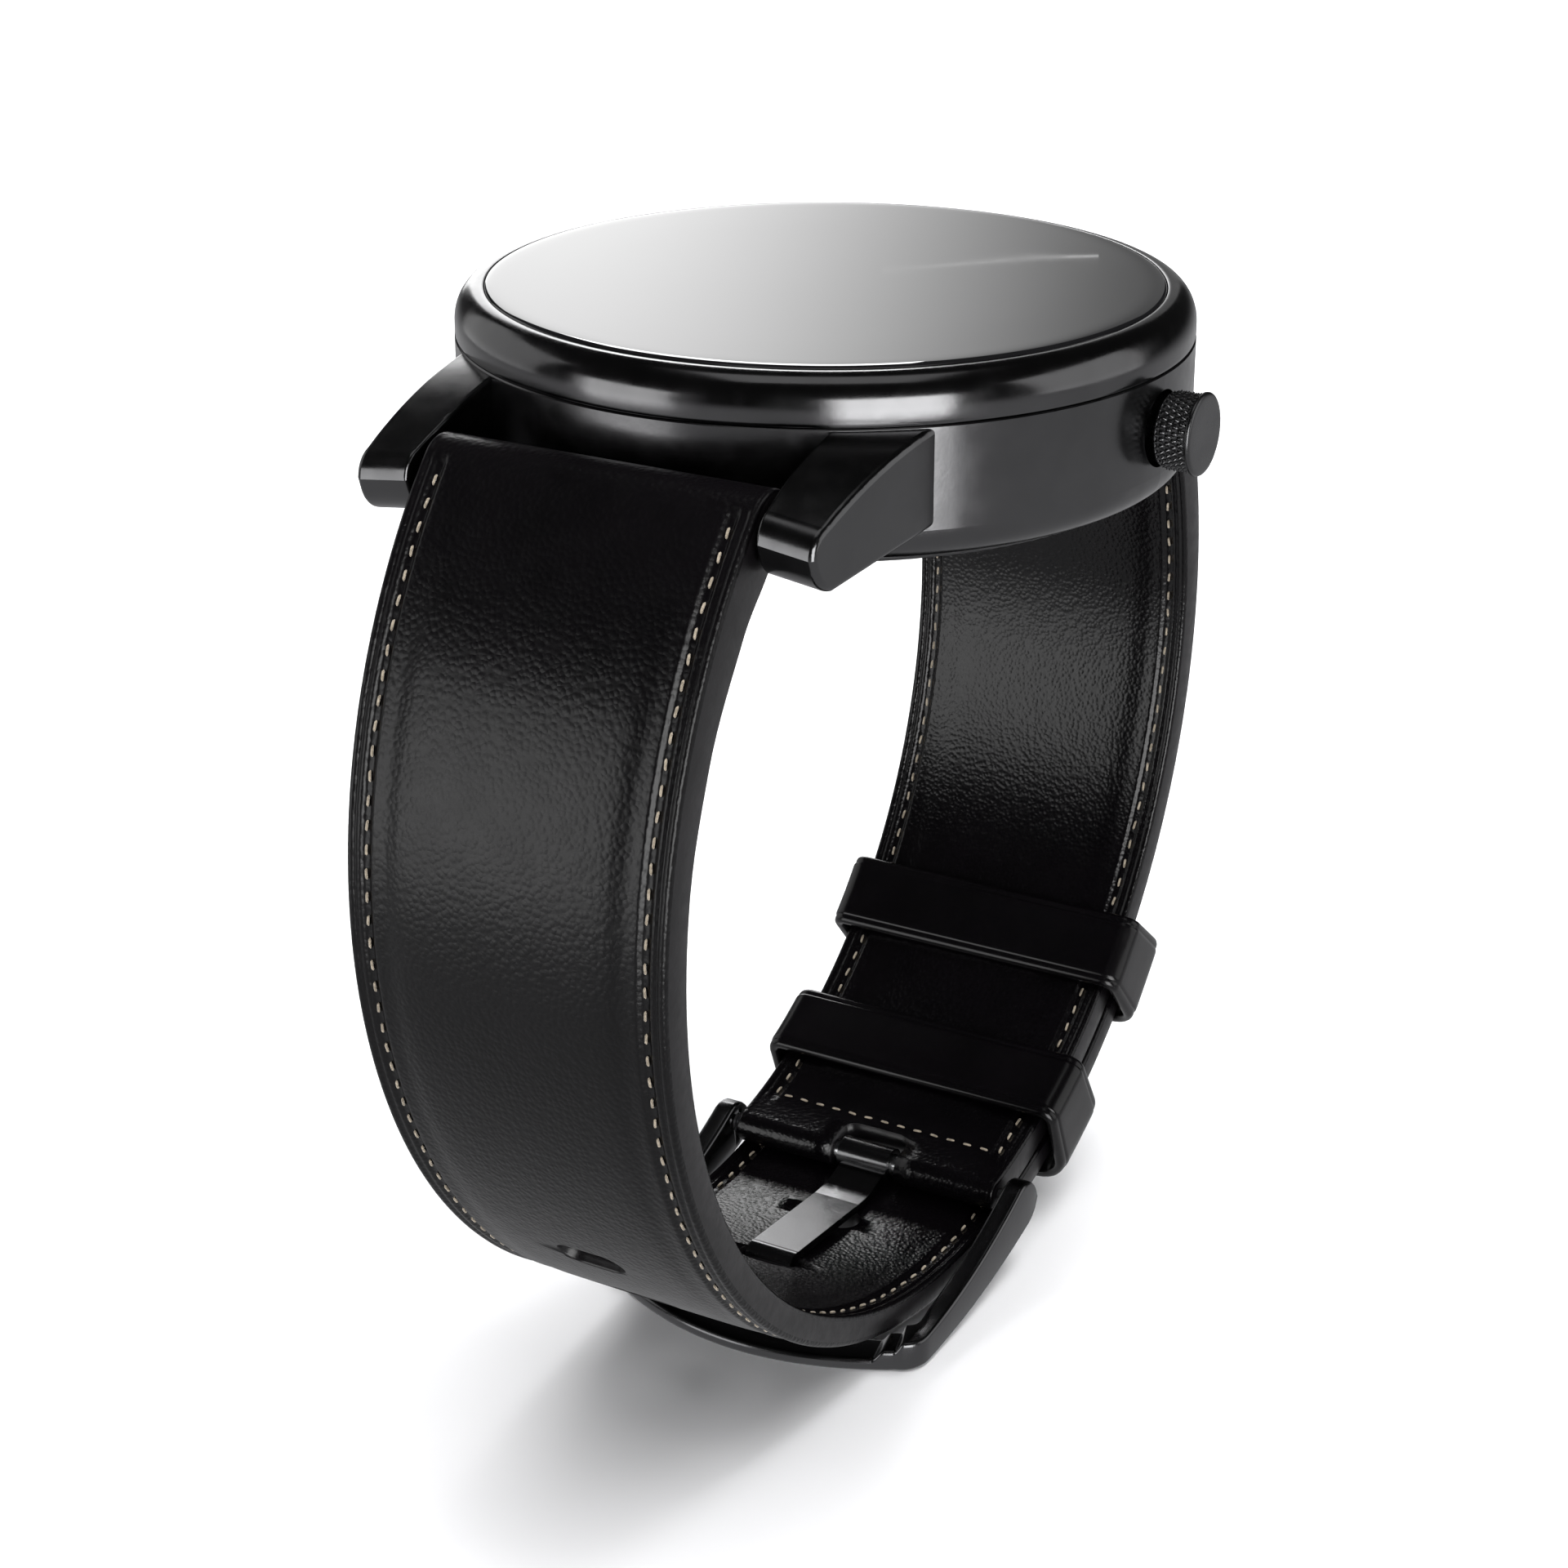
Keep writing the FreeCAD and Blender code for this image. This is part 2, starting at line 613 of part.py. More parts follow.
def long_strap_lining():
    layer = long_layer(LONG_IN_R + LINING, 0.0).cut(long_layer(LONG_OUT_R, LINING))
    layer = layer.cut(rod_x(LONG_WRAP_R, -12, 12, -LUG_BAR_Y, LUG_BAR_Z))
    cut = channel(LONG_CENTRE, LONG_IN_R - 3, LONG_IN_R + CHANNEL_DEPTH, LONG_FULL, LONG_STITCH[1],
                  CHANNEL_INSET, CHANNEL_HALF)
    return without(finish_long(layer), cut)


def long_strap_stitching():
    """One thread rail in each stitch channel, outside and inside."""
    rails = channel(LONG_CENTRE, LONG_OUT_R - CHANNEL_DEPTH, LONG_OUT_R - 0.03, *LONG_STITCH,
                    CHANNEL_INSET, 0.16)
    rails += channel(LONG_CENTRE, LONG_IN_R + 0.03, LONG_IN_R + CHANNEL_DEPTH, LONG_FULL,
                     LONG_STITCH[1], CHANNEL_INSET, 0.16)
    return group(rails)


def short_layer(outer_r, skin):
    """Slice of the short strap between outer_r and skin millimetres above its inner face."""
    lug_r = SHORT_OUT_R - 2 * SHORT_WRAP_R + 0.25 + skin
    inner_r = SHORT_IN_R + skin
    middle = (SHORT_LUG + SHORT_FULL) / 2
    swell = curve(at(BAND_CENTRE, lug_r, SHORT_LUG), at(BAND_CENTRE, inner_r - 0.72, middle),
                  at(BAND_CENTRE, inner_r, SHORT_FULL))
    edges = [swell, arc(BAND_CENTRE, inner_r, SHORT_FULL, SHORT_END),
             line(at(BAND_CENTRE, inner_r, SHORT_END), at(BAND_CENTRE, outer_r, SHORT_END)),
             arc(BAND_CENTRE, outer_r, SHORT_LUG, SHORT_END),
             line(at(BAND_CENTRE, lug_r, SHORT_LUG), at(BAND_CENTRE, outer_r, SHORT_LUG))]
    return prism_x(edges, -12, 12)


def tongue_notch():
    """Room at the end of the short strap for the tongue's eye."""
    return radial_slot(BAND_CENTRE, SHORT_END + 0.6, 2.6, 1.0, 30, 40).fuse(
        box(-2.6, 2.6, BUCKLE_BAR[0] - 4, BUCKLE_BAR[0] + 1.9, -56, -48))


def short_strap_outer():
    """Outer leather, folded round the lug bar at one end and the buckle bar at the other."""
    lug_bar = (LUG_BAR_Y, LUG_BAR_Z)
    skin = sector(BAND_CENTRE, SHORT_OUT_R - LEATHER, SHORT_OUT_R, SHORT_END, SHORT_LUG)
    skin = without(skin, [rod_x(SHORT_WRAP_R - 0.1, -12, 12, *lug_bar),
                          rod_x(END_WRAP_R - 0.1, -12, 12, *BUCKLE_BAR)])
    folds = [rod_x(SHORT_WRAP_R, -12, 12, *lug_bar), rod_x(END_WRAP_R, -12, 12, *BUCKLE_BAR)]
    whole = joined([skin] + folds).common(tapered((-1, 0), (1, 0)))
    cutters = [rod_x(1.0, -12, 12, *lug_bar), rod_x(0.76, -12, 12, *BUCKLE_BAR), tongue_notch()]
    cutters += channel(BAND_CENTRE, SHORT_OUT_R - CHANNEL_DEPTH, SHORT_OUT_R + 1, *SHORT_STITCH,
                       CHANNEL_INSET, CHANNEL_HALF)
    return without(whole, cutters)


def short_strap_core():
    layer = short_layer(SHORT_OUT_R - LEATHER, LINING).common(tapered((-1, 0), (1, 0)))
    return without(layer, [rod_x(SHORT_WRAP_R, -12, 12, LUG_BAR_Y, LUG_BAR_Z),
                           rod_x(END_WRAP_R, -12, 12, *BUCKLE_BAR), tongue_notch()])


def short_strap_lining():
    layer = short_layer(SHORT_IN_R + LINING, 0.0).cut(short_layer(SHORT_OUT_R, LINING))
    layer = layer.common(tapered((-1, 0), (1, 0)))
    cutters = [rod_x(SHORT_WRAP_R, -12, 12, LUG_BAR_Y, LUG_BAR_Z),
               rod_x(END_WRAP_R, -12, 12, *BUCKLE_BAR), tongue_notch()]
    cutters += channel(BAND_CENTRE, SHORT_IN_R - 3, SHORT_IN_R + CHANNEL_DEPTH, SHORT_FULL,
                       SHORT_STITCH[1], CHANNEL_INSET, CHANNEL_HALF)
    return without(layer, cutters)


def short_strap_stitching():
    rails = channel(BAND_CENTRE, SHORT_OUT_R - CHANNEL_DEPTH, SHORT_OUT_R - 0.03, *SHORT_STITCH,
                    CHANNEL_INSET, 0.16)
    rails += channel(BAND_CENTRE, SHORT_IN_R + 0.03, SHORT_IN_R + CHANNEL_DEPTH, SHORT_FULL,
                     SHORT_STITCH[1], CHANNEL_INSET, 0.16)
    return group(rails)


# ---------------------------------------------------------------- keepers and buckle
def keeper(centre_angle):
    """Leather loop round both straps, bent with the band."""
    def frame(half, r0, r1, near_corner, far_corner):
        """Rounded rectangle in the XY plane: X across the band, Y its radius."""
        slab = Part.makeBox(2 * half, r1 - r0, 1, Vector(-half, r0, 0))
        for radius, y in ((near_corner, r0), (far_corner, r1)):
            slab = slab.makeFillet(radius, [e for e in slab.Edges if abs(e.CenterOfMass.z - 0.5) < 0.01
                                            and abs(e.CenterOfMass.y - y) < 0.01])
        return [f for f in slab.Faces if abs(f.CenterOfMass.z) < 0.01][0]

    wall = KEEPER_WALL
    outer = frame(KEEPER_HALF, KEEPER_IN_R, KEEPER_OUT_R, 1.3, 2.3)
    inner = frame(KEEPER_HALF - wall, KEEPER_IN_R + wall, KEEPER_OUT_R - wall, 0.5, 1.45)
    loop = outer.cut(inner)
    solid = loop.revolve(Vector(0, 0, 0), Vector(1, 0, 0), KEEPER_SPAN)
    solid.rotate(Vector(0, 0, 0), Vector(1, 0, 0), centre_angle - KEEPER_SPAN / 2)
    solid.translate(Vector(0, BAND_CENTRE[0], BAND_CENTRE[1]))
    return solid


def buckle_arm_outline():
    """Side of a buckle arm: a round end at the spring bar, tapering to the front corner."""
    end = curve((0, 6.0, -50.75), (0, 8.75, -51.9), (0, 7.6, -53.95))
    under = curve((0, 7.6, -53.95), (0, 0.8, -55.75), (0, -8.0, -56.65))
    over = curve((0, 6.0, -50.75), (0, 0.2, -53.1), (0, -8.0, -54.65))
    front = [line((0, -8.0, -56.65), (0, -14, -56.65)), line((0, -14, -56.65), (0, -14, -54.65)),
             line((0, -14, -54.65), (0, -8.0, -54.65))]
    return [end, under, over] + front


def buckle_frame():
    """Two curved arms and a bowed front bar, lower in the middle where the strap passes."""
    bulk = prism_x(buckle_arm_outline(), -BUCKLE_OUT_X, BUCKLE_OUT_X)
    foot = box(-13, 13, -14, -6, BUCKLE_REST_Z, -56.0)
    bulk = joined([bulk, foot])

    def plan(half, corner_y, nose_y, back_y):
        side = [line((half, back_y, 0), (half, corner_y + 2.0, 0)),
                curve((half, corner_y + 2.0, 0), (half - 0.45, corner_y + 0.65, 0),
                      (half - 1.8, corner_y - 0.3, 0))]
        other = [line((-half, back_y, 0), (-half, corner_y + 2.0, 0)),
                 curve((-half, corner_y + 2.0, 0), (-half + 0.45, corner_y + 0.65, 0),
                       (-half + 1.8, corner_y - 0.3, 0))]
        nose = curve((half - 1.8, corner_y - 0.3, 0), (0, nose_y, 0), (-half + 1.8, corner_y - 0.3, 0))
        back = line((half, back_y, 0), (-half, back_y, 0))
        solid = prism(side + other + [nose, back], (0, 0, 12))
        solid.translate(Vector(0, 0, -60))
        return solid

    outer = plan(BUCKLE_OUT_X, -8.9, -12.3, 12)
    inner = plan(BUCKLE_IN_X, -6.6, -9.2, 13)
    frame = bulk.common(outer).cut(inner)
    frame = frame.cut(box(-10.4, 10.4, -14, -5, -55.3, -50)).cut(box(-9.5, 9.5, -14, -5, -55.9, -50))
    rims = [e for e in frame.Edges if abs(e.CenterOfMass.x) > 11.6 and e.Length > 10
            and e.CenterOfMass.z > -54]
    frame = frame.makeFillet(0.28, rims)
    hole = rod_x(0.45, 10.5, 11.7, *BUCKLE_BAR)
    return frame.cut(hole).cut(mirrored_x(hole))


def buckle_tongue():
    """Rolled eye on the spring bar, a cranked shank and a point that swings out of the hole."""
    y, z = BUCKLE_BAR
    eye = rod_x(1.15, -TONGUE_HALF - 0.25, TONGUE_HALF + 0.25, y, z)
    point_in, point_out = 13.6, 14.15
    edges = [line((0, y - 0.2, z - 1.1), (0, 4.2, -53.25)),
             line((0, 4.2, -53.25), (0, 2.2, -53.2)),
             line((0, 2.2, -53.2), (0, -5.7, -52.7)),
             curve((0, -5.7, -52.7), at(BUCKLE_BAR, point_in, 184.9), at(BUCKLE_BAR, point_in, 186.5)),
             arc(BUCKLE_BAR, point_in, 186.5, 194.5),
             line(at(BUCKLE_BAR, point_in, 194.5), at(BUCKLE_BAR, point_out, 194.9)),
             arc(BUCKLE_BAR, point_out, 183.6, 194.9),
             curve(at(BUCKLE_BAR, point_out, 183.6), at(BUCKLE_BAR, point_out - 0.3, 181.9),
                   (0, -6.1, -52.05)),
             line((0, -6.1, -52.05), (0, 2.3, -52.68)),
             line((0, 2.3, -52.68), (0, 3.9, -52.72)),
             line((0, 3.9, -52.72), (0, y - 1.1, z - 0.35)),
             line((0, y - 1.1, z - 0.35), (0, y - 0.2, z - 1.1))]
    shank = prism_x(edges, -TONGUE_HALF, TONGUE_HALF)
    return joined([eye, shank]).cut(rod_x(0.78, -5, 5, y, z))


# ---------------------------------------------------------------- all the nodes
LUG_TUBE = (0.9, 9.9)
BUCKLE_TUBE = (0.72, 9.3)

NODES = {
    "mid_case": mid_case(),
    "bezel_ring": bezel_ring(),
    "cover_glass": cover_glass(),
    "glass_gasket": glass_gasket(),
    "touch_layer": touch_layer(),
    "display_panel": display_panel(),
    "display_plate": display_plate(),
    "display_flex": display_flex(),
    "inner_frame": inner_frame(),
    "mainboard": mainboard(),
    "shield_cans": shield_cans(),
    "board_chips": board_chips(),
    "board_screws": board_screws(),
    "microphone": microphone(),
    "antenna": antenna(),
    "battery": battery(),
    "battery_flex": battery_flex(),
    "vibration_motor": vibration_motor(),
    "speaker": speaker(),
    "back_gasket": back_gasket(),
    "case_back": case_back(),
    "back_screws": back_screws(),
    "charging_pins": charging_pins(),
    "sensor_window": sensor_window(),
    "sensor_board": sensor_board(),
    "sensor_leds": sensor_leds(),
    "light_baffle": light_baffle(),
    "crown_tube": crown_tube(),
    "crown_seal": crown_seal(),
    "crown_knob": crown_knob(),
    "crown_cap": crown_cap(),
    "crown_stem": crown_stem(),
    "crown_clip": crown_clip(),
    "encoder_wheel": encoder_wheel(),
    "encoder_sensor": encoder_sensor(),
    "crown_switch": crown_switch(),
    "switch_plunger": switch_plunger(),
    "long_strap_outer": long_strap_outer(),
    "long_strap_core": long_strap_core(),
    "long_strap_lining": long_strap_lining(),
    "long_strap_stitching": long_strap_stitching(),
    "short_strap_outer": short_strap_outer(),
    "short_strap_core": short_strap_core(),
    "short_strap_lining": short_strap_lining(),
    "short_strap_stitching": short_strap_stitching(),
    "fixed_keeper": keeper(FIXED_KEEPER_AT),
    "free_keeper": keeper(FREE_KEEPER_AT),
    "buckle_frame": buckle_frame(),
    "buckle_tongue": buckle_tongue(),
}

BARS = {
    "long_bar": (LUG_TUBE, LUG_IN_X, -LUG_BAR_Y, LUG_BAR_Z),
    "short_bar": (LUG_TUBE, LUG_IN_X, LUG_BAR_Y, LUG_BAR_Z),
    "buckle_bar": (BUCKLE_TUBE, BUCKLE_IN_X, BUCKLE_BAR[0], BUCKLE_BAR[1]),
}
for name, ((tube_r, tube_half), gap_half, bar_y, bar_z) in BARS.items():
    NODES[name + "_tube"] = bar_tube(tube_r, tube_half, bar_y, bar_z)
    NODES[name + "_tip_left"] = bar_tip(gap_half, tube_half, tube_r, -1, bar_y, bar_z)
    NODES[name + "_tip_right"] = bar_tip(gap_half, tube_half, tube_r, 1, bar_y, bar_z)

NODES["bar_springs"] = group([bar_spring(0.48, 5.5, -LUG_BAR_Y, LUG_BAR_Z),
                              bar_spring(0.48, 5.5, LUG_BAR_Y, LUG_BAR_Z),
                              bar_spring(0.3, 4.9, *BUCKLE_BAR)])

for name, shape in NODES.items():
    shape.exportStep("parts/" + name + ".step")
print(len(NODES), "nodes")
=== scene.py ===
"""Looks of the smartwatch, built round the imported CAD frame.

Lengths in this file are millimetres in the CAD frame until mesh_piece and place turn them to metres.
Angles of the band are in the YZ plane, from +Y towards +Z.
"""

import json
import math

import bmesh
import bpy
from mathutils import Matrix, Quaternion, Vector


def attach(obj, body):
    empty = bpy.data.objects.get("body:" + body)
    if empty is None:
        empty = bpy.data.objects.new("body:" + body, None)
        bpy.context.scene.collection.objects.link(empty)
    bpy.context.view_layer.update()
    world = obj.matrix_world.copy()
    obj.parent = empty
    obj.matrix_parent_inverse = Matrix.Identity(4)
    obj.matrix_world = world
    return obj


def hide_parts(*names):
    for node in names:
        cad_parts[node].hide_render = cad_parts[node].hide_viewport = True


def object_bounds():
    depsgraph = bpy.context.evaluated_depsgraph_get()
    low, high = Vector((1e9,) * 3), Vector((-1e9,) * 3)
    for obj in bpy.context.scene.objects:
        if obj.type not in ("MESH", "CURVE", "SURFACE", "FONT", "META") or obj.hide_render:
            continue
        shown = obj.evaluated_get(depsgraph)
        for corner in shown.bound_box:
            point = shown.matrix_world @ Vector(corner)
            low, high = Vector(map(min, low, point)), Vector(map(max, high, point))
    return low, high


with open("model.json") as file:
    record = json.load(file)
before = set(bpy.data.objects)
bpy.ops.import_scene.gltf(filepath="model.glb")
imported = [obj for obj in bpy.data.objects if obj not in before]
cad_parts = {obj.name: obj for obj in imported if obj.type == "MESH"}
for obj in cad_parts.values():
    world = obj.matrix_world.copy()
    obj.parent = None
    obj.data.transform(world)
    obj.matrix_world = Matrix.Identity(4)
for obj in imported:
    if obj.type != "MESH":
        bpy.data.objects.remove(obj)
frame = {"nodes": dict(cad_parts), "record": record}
cad_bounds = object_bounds()
MM = 0.001

# ---------------------------------------------------------------- sizes taken over from the CAD model
BAND_CENTRE = (0.0, -17.4)
LONG_CENTRE = (1.04, -18.0)
LUG_BAR = (25.2, 5.5)
BUCKLE_BAR = (6.9, -51.75)
STRAP_TOP_HALF, STRAP_LOW_HALF = 10.87, 10.15
LUG_BAR_Z, STRAP_LOW_Z = 5.5, -54.0
CHANNEL = 1.35                # from the strap's edge to the row of stitches
CROWN_Z = 6.35
TONGUE_HOLE_ANGLE, HOLE_STEP, HOLES_EACH_WAY = 257.32, 12.91, 3
HOLE_ANGLES = [TONGUE_HOLE_ANGLE + HOLE_STEP * n for n in range(-HOLES_EACH_WAY, HOLES_EACH_WAY + 1)]
STITCH_PITCH = 1.42


def half_width(z):
    """Half width of both straps at a height."""
    slope = (STRAP_TOP_HALF - STRAP_LOW_HALF) / (LUG_BAR_Z - STRAP_LOW_Z)
    return STRAP_LOW_HALF + slope * (z - STRAP_LOW_Z)


def at(centre, radius, degrees, x=0.0):
    """Point on a circle round a (y, z) centre."""
    angle = math.radians(degrees)
    return Vector((x, centre[0] + radius * math.cos(angle), centre[1] + radius * math.sin(angle)))


def smooth(start, end, value):
    """Smooth step from 0 at start to 1 at end."""
    t = min(1.0, max(0.0, (value - start) / (end - start)))
    return t * t * (3 - 2 * t)


def follow(table, value):
    """Smooth interpolation through (place, value) pairs in rising order of place."""
    if value <= table[0][0]:
        return table[0][1]
    for (a, va), (b, vb) in zip(table, table[1:]):
        if value <= b:
            return va + (vb - va) * smooth(a, b, value)
    return table[-1][1]


# ---------------------------------------------------------------- materials
def map_range(tree, source, limits):
    """Smooth step of a socket; limits is (from, to, value at from, value at to)."""
    node = tree.nodes.new("ShaderNodeMapRange")
    node.interpolation_type = "SMOOTHSTEP"
    for key, value in zip(("From Min", "From Max", "To Min", "To Max"), limits):
        node.inputs[key].default_value = value
    tree.links.new(source, node.inputs["Value"])
    return node.outputs["Result"]


class Surface:
    """A Principled material whose textures are sized in millimetres of the object."""

    def __init__(self, name, metallic=0.0, **sockets):
        self.material = bpy.data.materials.new(name)
        self.material.use_nodes = True
        self.tree = self.material.node_tree
        self.shader = self.tree.nodes["Principled BSDF"]
        self.shader.inputs["Metallic"].default_value = metallic
        for key, value in sockets.items():
            self.shader.inputs[key.replace("_", " ")].default_value = value
        self.coordinates = self.tree.nodes.new("ShaderNodeTexCoord").outputs["Object"]

    def link(self, source, target):
        self.tree.links.new(source, target)

    def place(self, stretch=(1, 1, 1), turn=(0, 0, 0)):
        mapping = self.tree.nodes.new("ShaderNodeMapping")
        mapping.inputs["Scale"].default_value = [s / MM for s in stretch]
        mapping.inputs["Rotation"].default_value = [math.radians(a) for a in turn]
        self.link(self.coordinates, mapping.inputs["Vector"])
        return mapping.outputs["Vector"]

    def noise(self, size, detail=3.0, stretch=(1, 1, 1), turn=(0, 0, 0)):
        node = self.tree.nodes.new("ShaderNodeTexNoise")
        node.inputs["Scale"].default_value = 1.0 / size
        node.inputs["Detail"].default_value = detail
        node.inputs["Roughness"].default_value = 0.55
        self.link(self.place(stretch, turn), node.inputs["Vector"])
        return node.outputs["Fac"]

    def cells(self, size):
        """Distance from the middle of the nearest cell."""
        node = self.tree.nodes.new("ShaderNodeTexVoronoi")
        node.inputs["Scale"].default_value = 1.0 / size
        self.link(self.place(), node.inputs["Vector"])
        return node.outputs["Distance"]

    def range(self, source, low, high, start=0.3, end=0.7):
        return map_range(self.tree, source, (start, end, low, high))

    def colour(self, source, dark, light, start=0.3, end=0.7):
        node = self.tree.nodes.new("ShaderNodeValToRGB")
        node.color_ramp.elements[0].position = start
        node.color_ramp.elements[1].position = end
        node.color_ramp.elements[0].color = (*dark, 1)
        node.color_ramp.elements[1].color = (*light, 1)
        self.link(source, node.inputs["Fac"])
        self.link(node.outputs["Color"], self.shader.inputs["Base Color"])

    def roughness(self, source, low, high, start=0.3, end=0.7):
        self.link(self.range(source, low, high, start, end), self.shader.inputs["Roughness"])

    def bumps(self, *layers):
        """Each layer is (height source, depth in mm, strength)."""
        below = None
        for source, depth, strength in layers:
            node = self.tree.nodes.new("ShaderNodeBump")
            node.inputs["Distance"].default_value = depth * MM
            node.inputs["Strength"].default_value = strength
            self.link(source, node.inputs["Height"])
            if below is not None:
                self.link(below, node.inputs["Normal"])
            below = node.outputs["Normal"]
        self.link(below, self.shader.inputs["Normal"])


def leather(name, grain, gloss, depth=0.05, coat=0.12):
    """Black leather: fine pebbles with creases over them, a slow wave and a slow drift of colour."""
    skin = Surface(name, Specular_IOR_Level=0.30, Coat_Weight=coat, Coat_Roughness=0.25)
    skin.colour(skin.noise(5.0, 2), (0.0010, 0.0008, 0.0011), (0.0017, 0.0013, 0.0018))
    skin.roughness(skin.noise(1.6, 2), gloss - 0.015, gloss + 0.03, 0.2, 0.8)
    pebbles = skin.range(skin.cells(grain), 1.0, 0.0, 0.05, 0.85)
    skin.bumps((skin.noise(2.6, 2), 0.06, 0.25), (pebbles, depth * 0.5, 0.8),
               (skin.noise(grain * 0.6, 3), depth * 0.5, 0.5))
    return skin.material


def painted_edge(name):
    """Dark paint over the cut edge of the leather."""
    edge = Surface(name, Specular_IOR_Level=0.4, Coat_Weight=0.15, Coat_Roughness=0.3)
    edge.colour(edge.noise(3.0), (0.0035, 0.0030, 0.0035), (0.007, 0.006, 0.007))
    edge.roughness(edge.noise(0.8), 0.28, 0.40)
    edge.bumps((edge.noise(1.5, 2), 0.05, 0.5), (edge.noise(0.2, 2), 0.01, 0.6))
    return edge.material


def thread(name):
    """Pale waxed yarn with a twist."""
    yarn = Surface(name, Sheen_Weight=0.3, Sheen_Roughness=0.5)
    yarn.colour(yarn.noise(0.25, 3), (0.17, 0.14, 0.10), (0.40, 0.34, 0.26))
    yarn.roughness(yarn.noise(0.3), 0.6, 0.8)
    yarn.bumps((yarn.noise(0.06, 2, stretch=(1, 0.35, 0.35), turn=(0, 0, 35)), 0.03, 0.9))
    return yarn.material


def coated_metal(name, dark, light, low, high, grain=0.25, stretch=(1, 1, 1), wear=0.004):
    """Dark coated steel: fine grain, a few handling marks and slow change of gloss."""
    metal = Surface(name, metallic=1.0)
    metal.colour(metal.noise(7.0, 4), dark, light)
    metal.roughness(metal.noise(1.6, 5), low, high)
    metal.bumps((metal.noise(grain, 2, stretch=stretch), wear, 0.5), (metal.noise(9.0, 2), 0.03, 0.25))
    return metal.material


def plain(name, dark, light, low, high, size=0.6, depth=0.01, metallic=0.0):
    """Moulded, printed or plated inner parts."""
    stuff = Surface(name, metallic=metallic)
    stuff.colour(stuff.noise(size * 4, 3), dark, light)
    stuff.roughness(stuff.noise(size * 2, 3), low, high)
    stuff.bumps((stuff.noise(size * 0.4, 2), depth, 0.6))
    return stuff.material


def display_glass(name):
    """Near-black glass over an unlit display."""
    glass = Surface(name, Specular_IOR_Level=0.62)
    glass.colour(glass.noise(12.0, 2), (0.0035, 0.0035, 0.004), (0.006, 0.006, 0.0065))
    glass.roughness(glass.noise(4.0, 5), 0.015, 0.03)
    glass.bumps((glass.noise(0.12, 2), 0.00012, 0.3))
    return glass.material


STRAP = leather("strap_leather", 0.36, 0.32)
LINING = leather("strap_lining", 0.30, 0.20, depth=0.04)
KEEPER = leather("keeper_leather", 0.5, 0.24, depth=0.004, coat=0.25)
EDGE = painted_edge("painted_edge")
THREAD = thread("waxed_thread")
CASE = coated_metal("case_coating", (0.105, 0.105, 0.107), (0.125, 0.125, 0.128), 0.19, 0.26)
BEZEL = coated_metal("bezel_coating", (0.115, 0.115, 0.117), (0.135, 0.135, 0.138), 0.15, 0.21, wear=0.002)
CROWN = coated_metal("crown_coating", (0.095, 0.095, 0.097), (0.120, 0.120, 0.123), 0.24, 0.32)
BUCKLE = coated_metal("buckle_coating", (0.11, 0.11, 0.113), (0.13, 0.13, 0.133), 0.18, 0.26)
TONGUE = coated_metal("tongue_coating", (0.13, 0.13, 0.132), (0.15, 0.15, 0.153), 0.16, 0.24)
STEEL = coated_metal("turned_steel", (0.42, 0.42, 0.43), (0.55, 0.55, 0.56), 0.2, 0.32,
                     stretch=(8, 1, 1))
GLASS = display_glass("cover_glass_dark")

SLOT_MATERIALS = {
    "case_metal": CASE, "bezel_metal": BEZEL, "crown_metal": CROWN, "buckle_metal": BUCKLE,
    "tongue_metal": TONGUE, "bar_steel": STEEL, "screw_steel": STEEL,
    "plate_metal": plain("rolled_plate", (0.3, 0.3, 0.31), (0.42, 0.42, 0.43), 0.3, 0.45, metallic=1.0),
    "shield_metal": plain("tinned_sheet", (0.5, 0.5, 0.5), (0.62, 0.62, 0.62), 0.25, 0.4, metallic=1.0),
    "antenna_metal": plain("antenna_strip", (0.6, 0.42, 0.2), (0.72, 0.54, 0.28), 0.25, 0.4, metallic=1.0),
    "contact_gold": plain("contact_plating", (0.75, 0.55, 0.22), (0.85, 0.66, 0.3), 0.15, 0.3,
                          metallic=1.0),
    "cover_glass": GLASS,
    "window_glass": plain("sensor_glass", (0.006, 0.006, 0.007), (0.010, 0.010, 0.011), 0.06, 0.12,
                          size=3.0, depth=0.002),
    "display_black": plain("unlit_display", (0.004, 0.004, 0.005), (0.007, 0.007, 0.008), 0.1, 0.2),
    "back_plastic": plain("back_moulding", (0.016, 0.016, 0.017), (0.026, 0.026, 0.027), 0.45, 0.6,
                          size=0.3, depth=0.02),
    "tray_plastic": plain("filled_nylon", (0.05, 0.05, 0.052), (0.07, 0.07, 0.073), 0.5, 0.7),
    "chip_plastic": plain("chip_moulding", (0.02, 0.02, 0.02), (0.03, 0.03, 0.03), 0.4, 0.6),
    "circuit_board": plain("solder_mask", (0.004, 0.04, 0.018), (0.006, 0.06, 0.026), 0.3, 0.45),
    "flex_film": plain("polyimide", (0.4, 0.18, 0.02), (0.55, 0.26, 0.03), 0.25, 0.4),
    "battery_foil": plain("battery_pouch", (0.45, 0.45, 0.46), (0.6, 0.6, 0.61), 0.35, 0.5, metallic=1.0),
    "seal_rubber": plain("seal_rubber_dark", (0.01, 0.01, 0.01), (0.018, 0.018, 0.018), 0.55, 0.7),
    "strap_leather": STRAP, "keeper_leather": KEEPER, "lining_leather": LINING,
    "strap_padding": EDGE, "thread": THREAD,
}
for part in frame["record"]["subparts"]:
    mesh = frame["nodes"][part["node"]].data
    mesh.materials.clear()
    mesh.materials.append(SLOT_MATERIALS[part["material_slot"]])


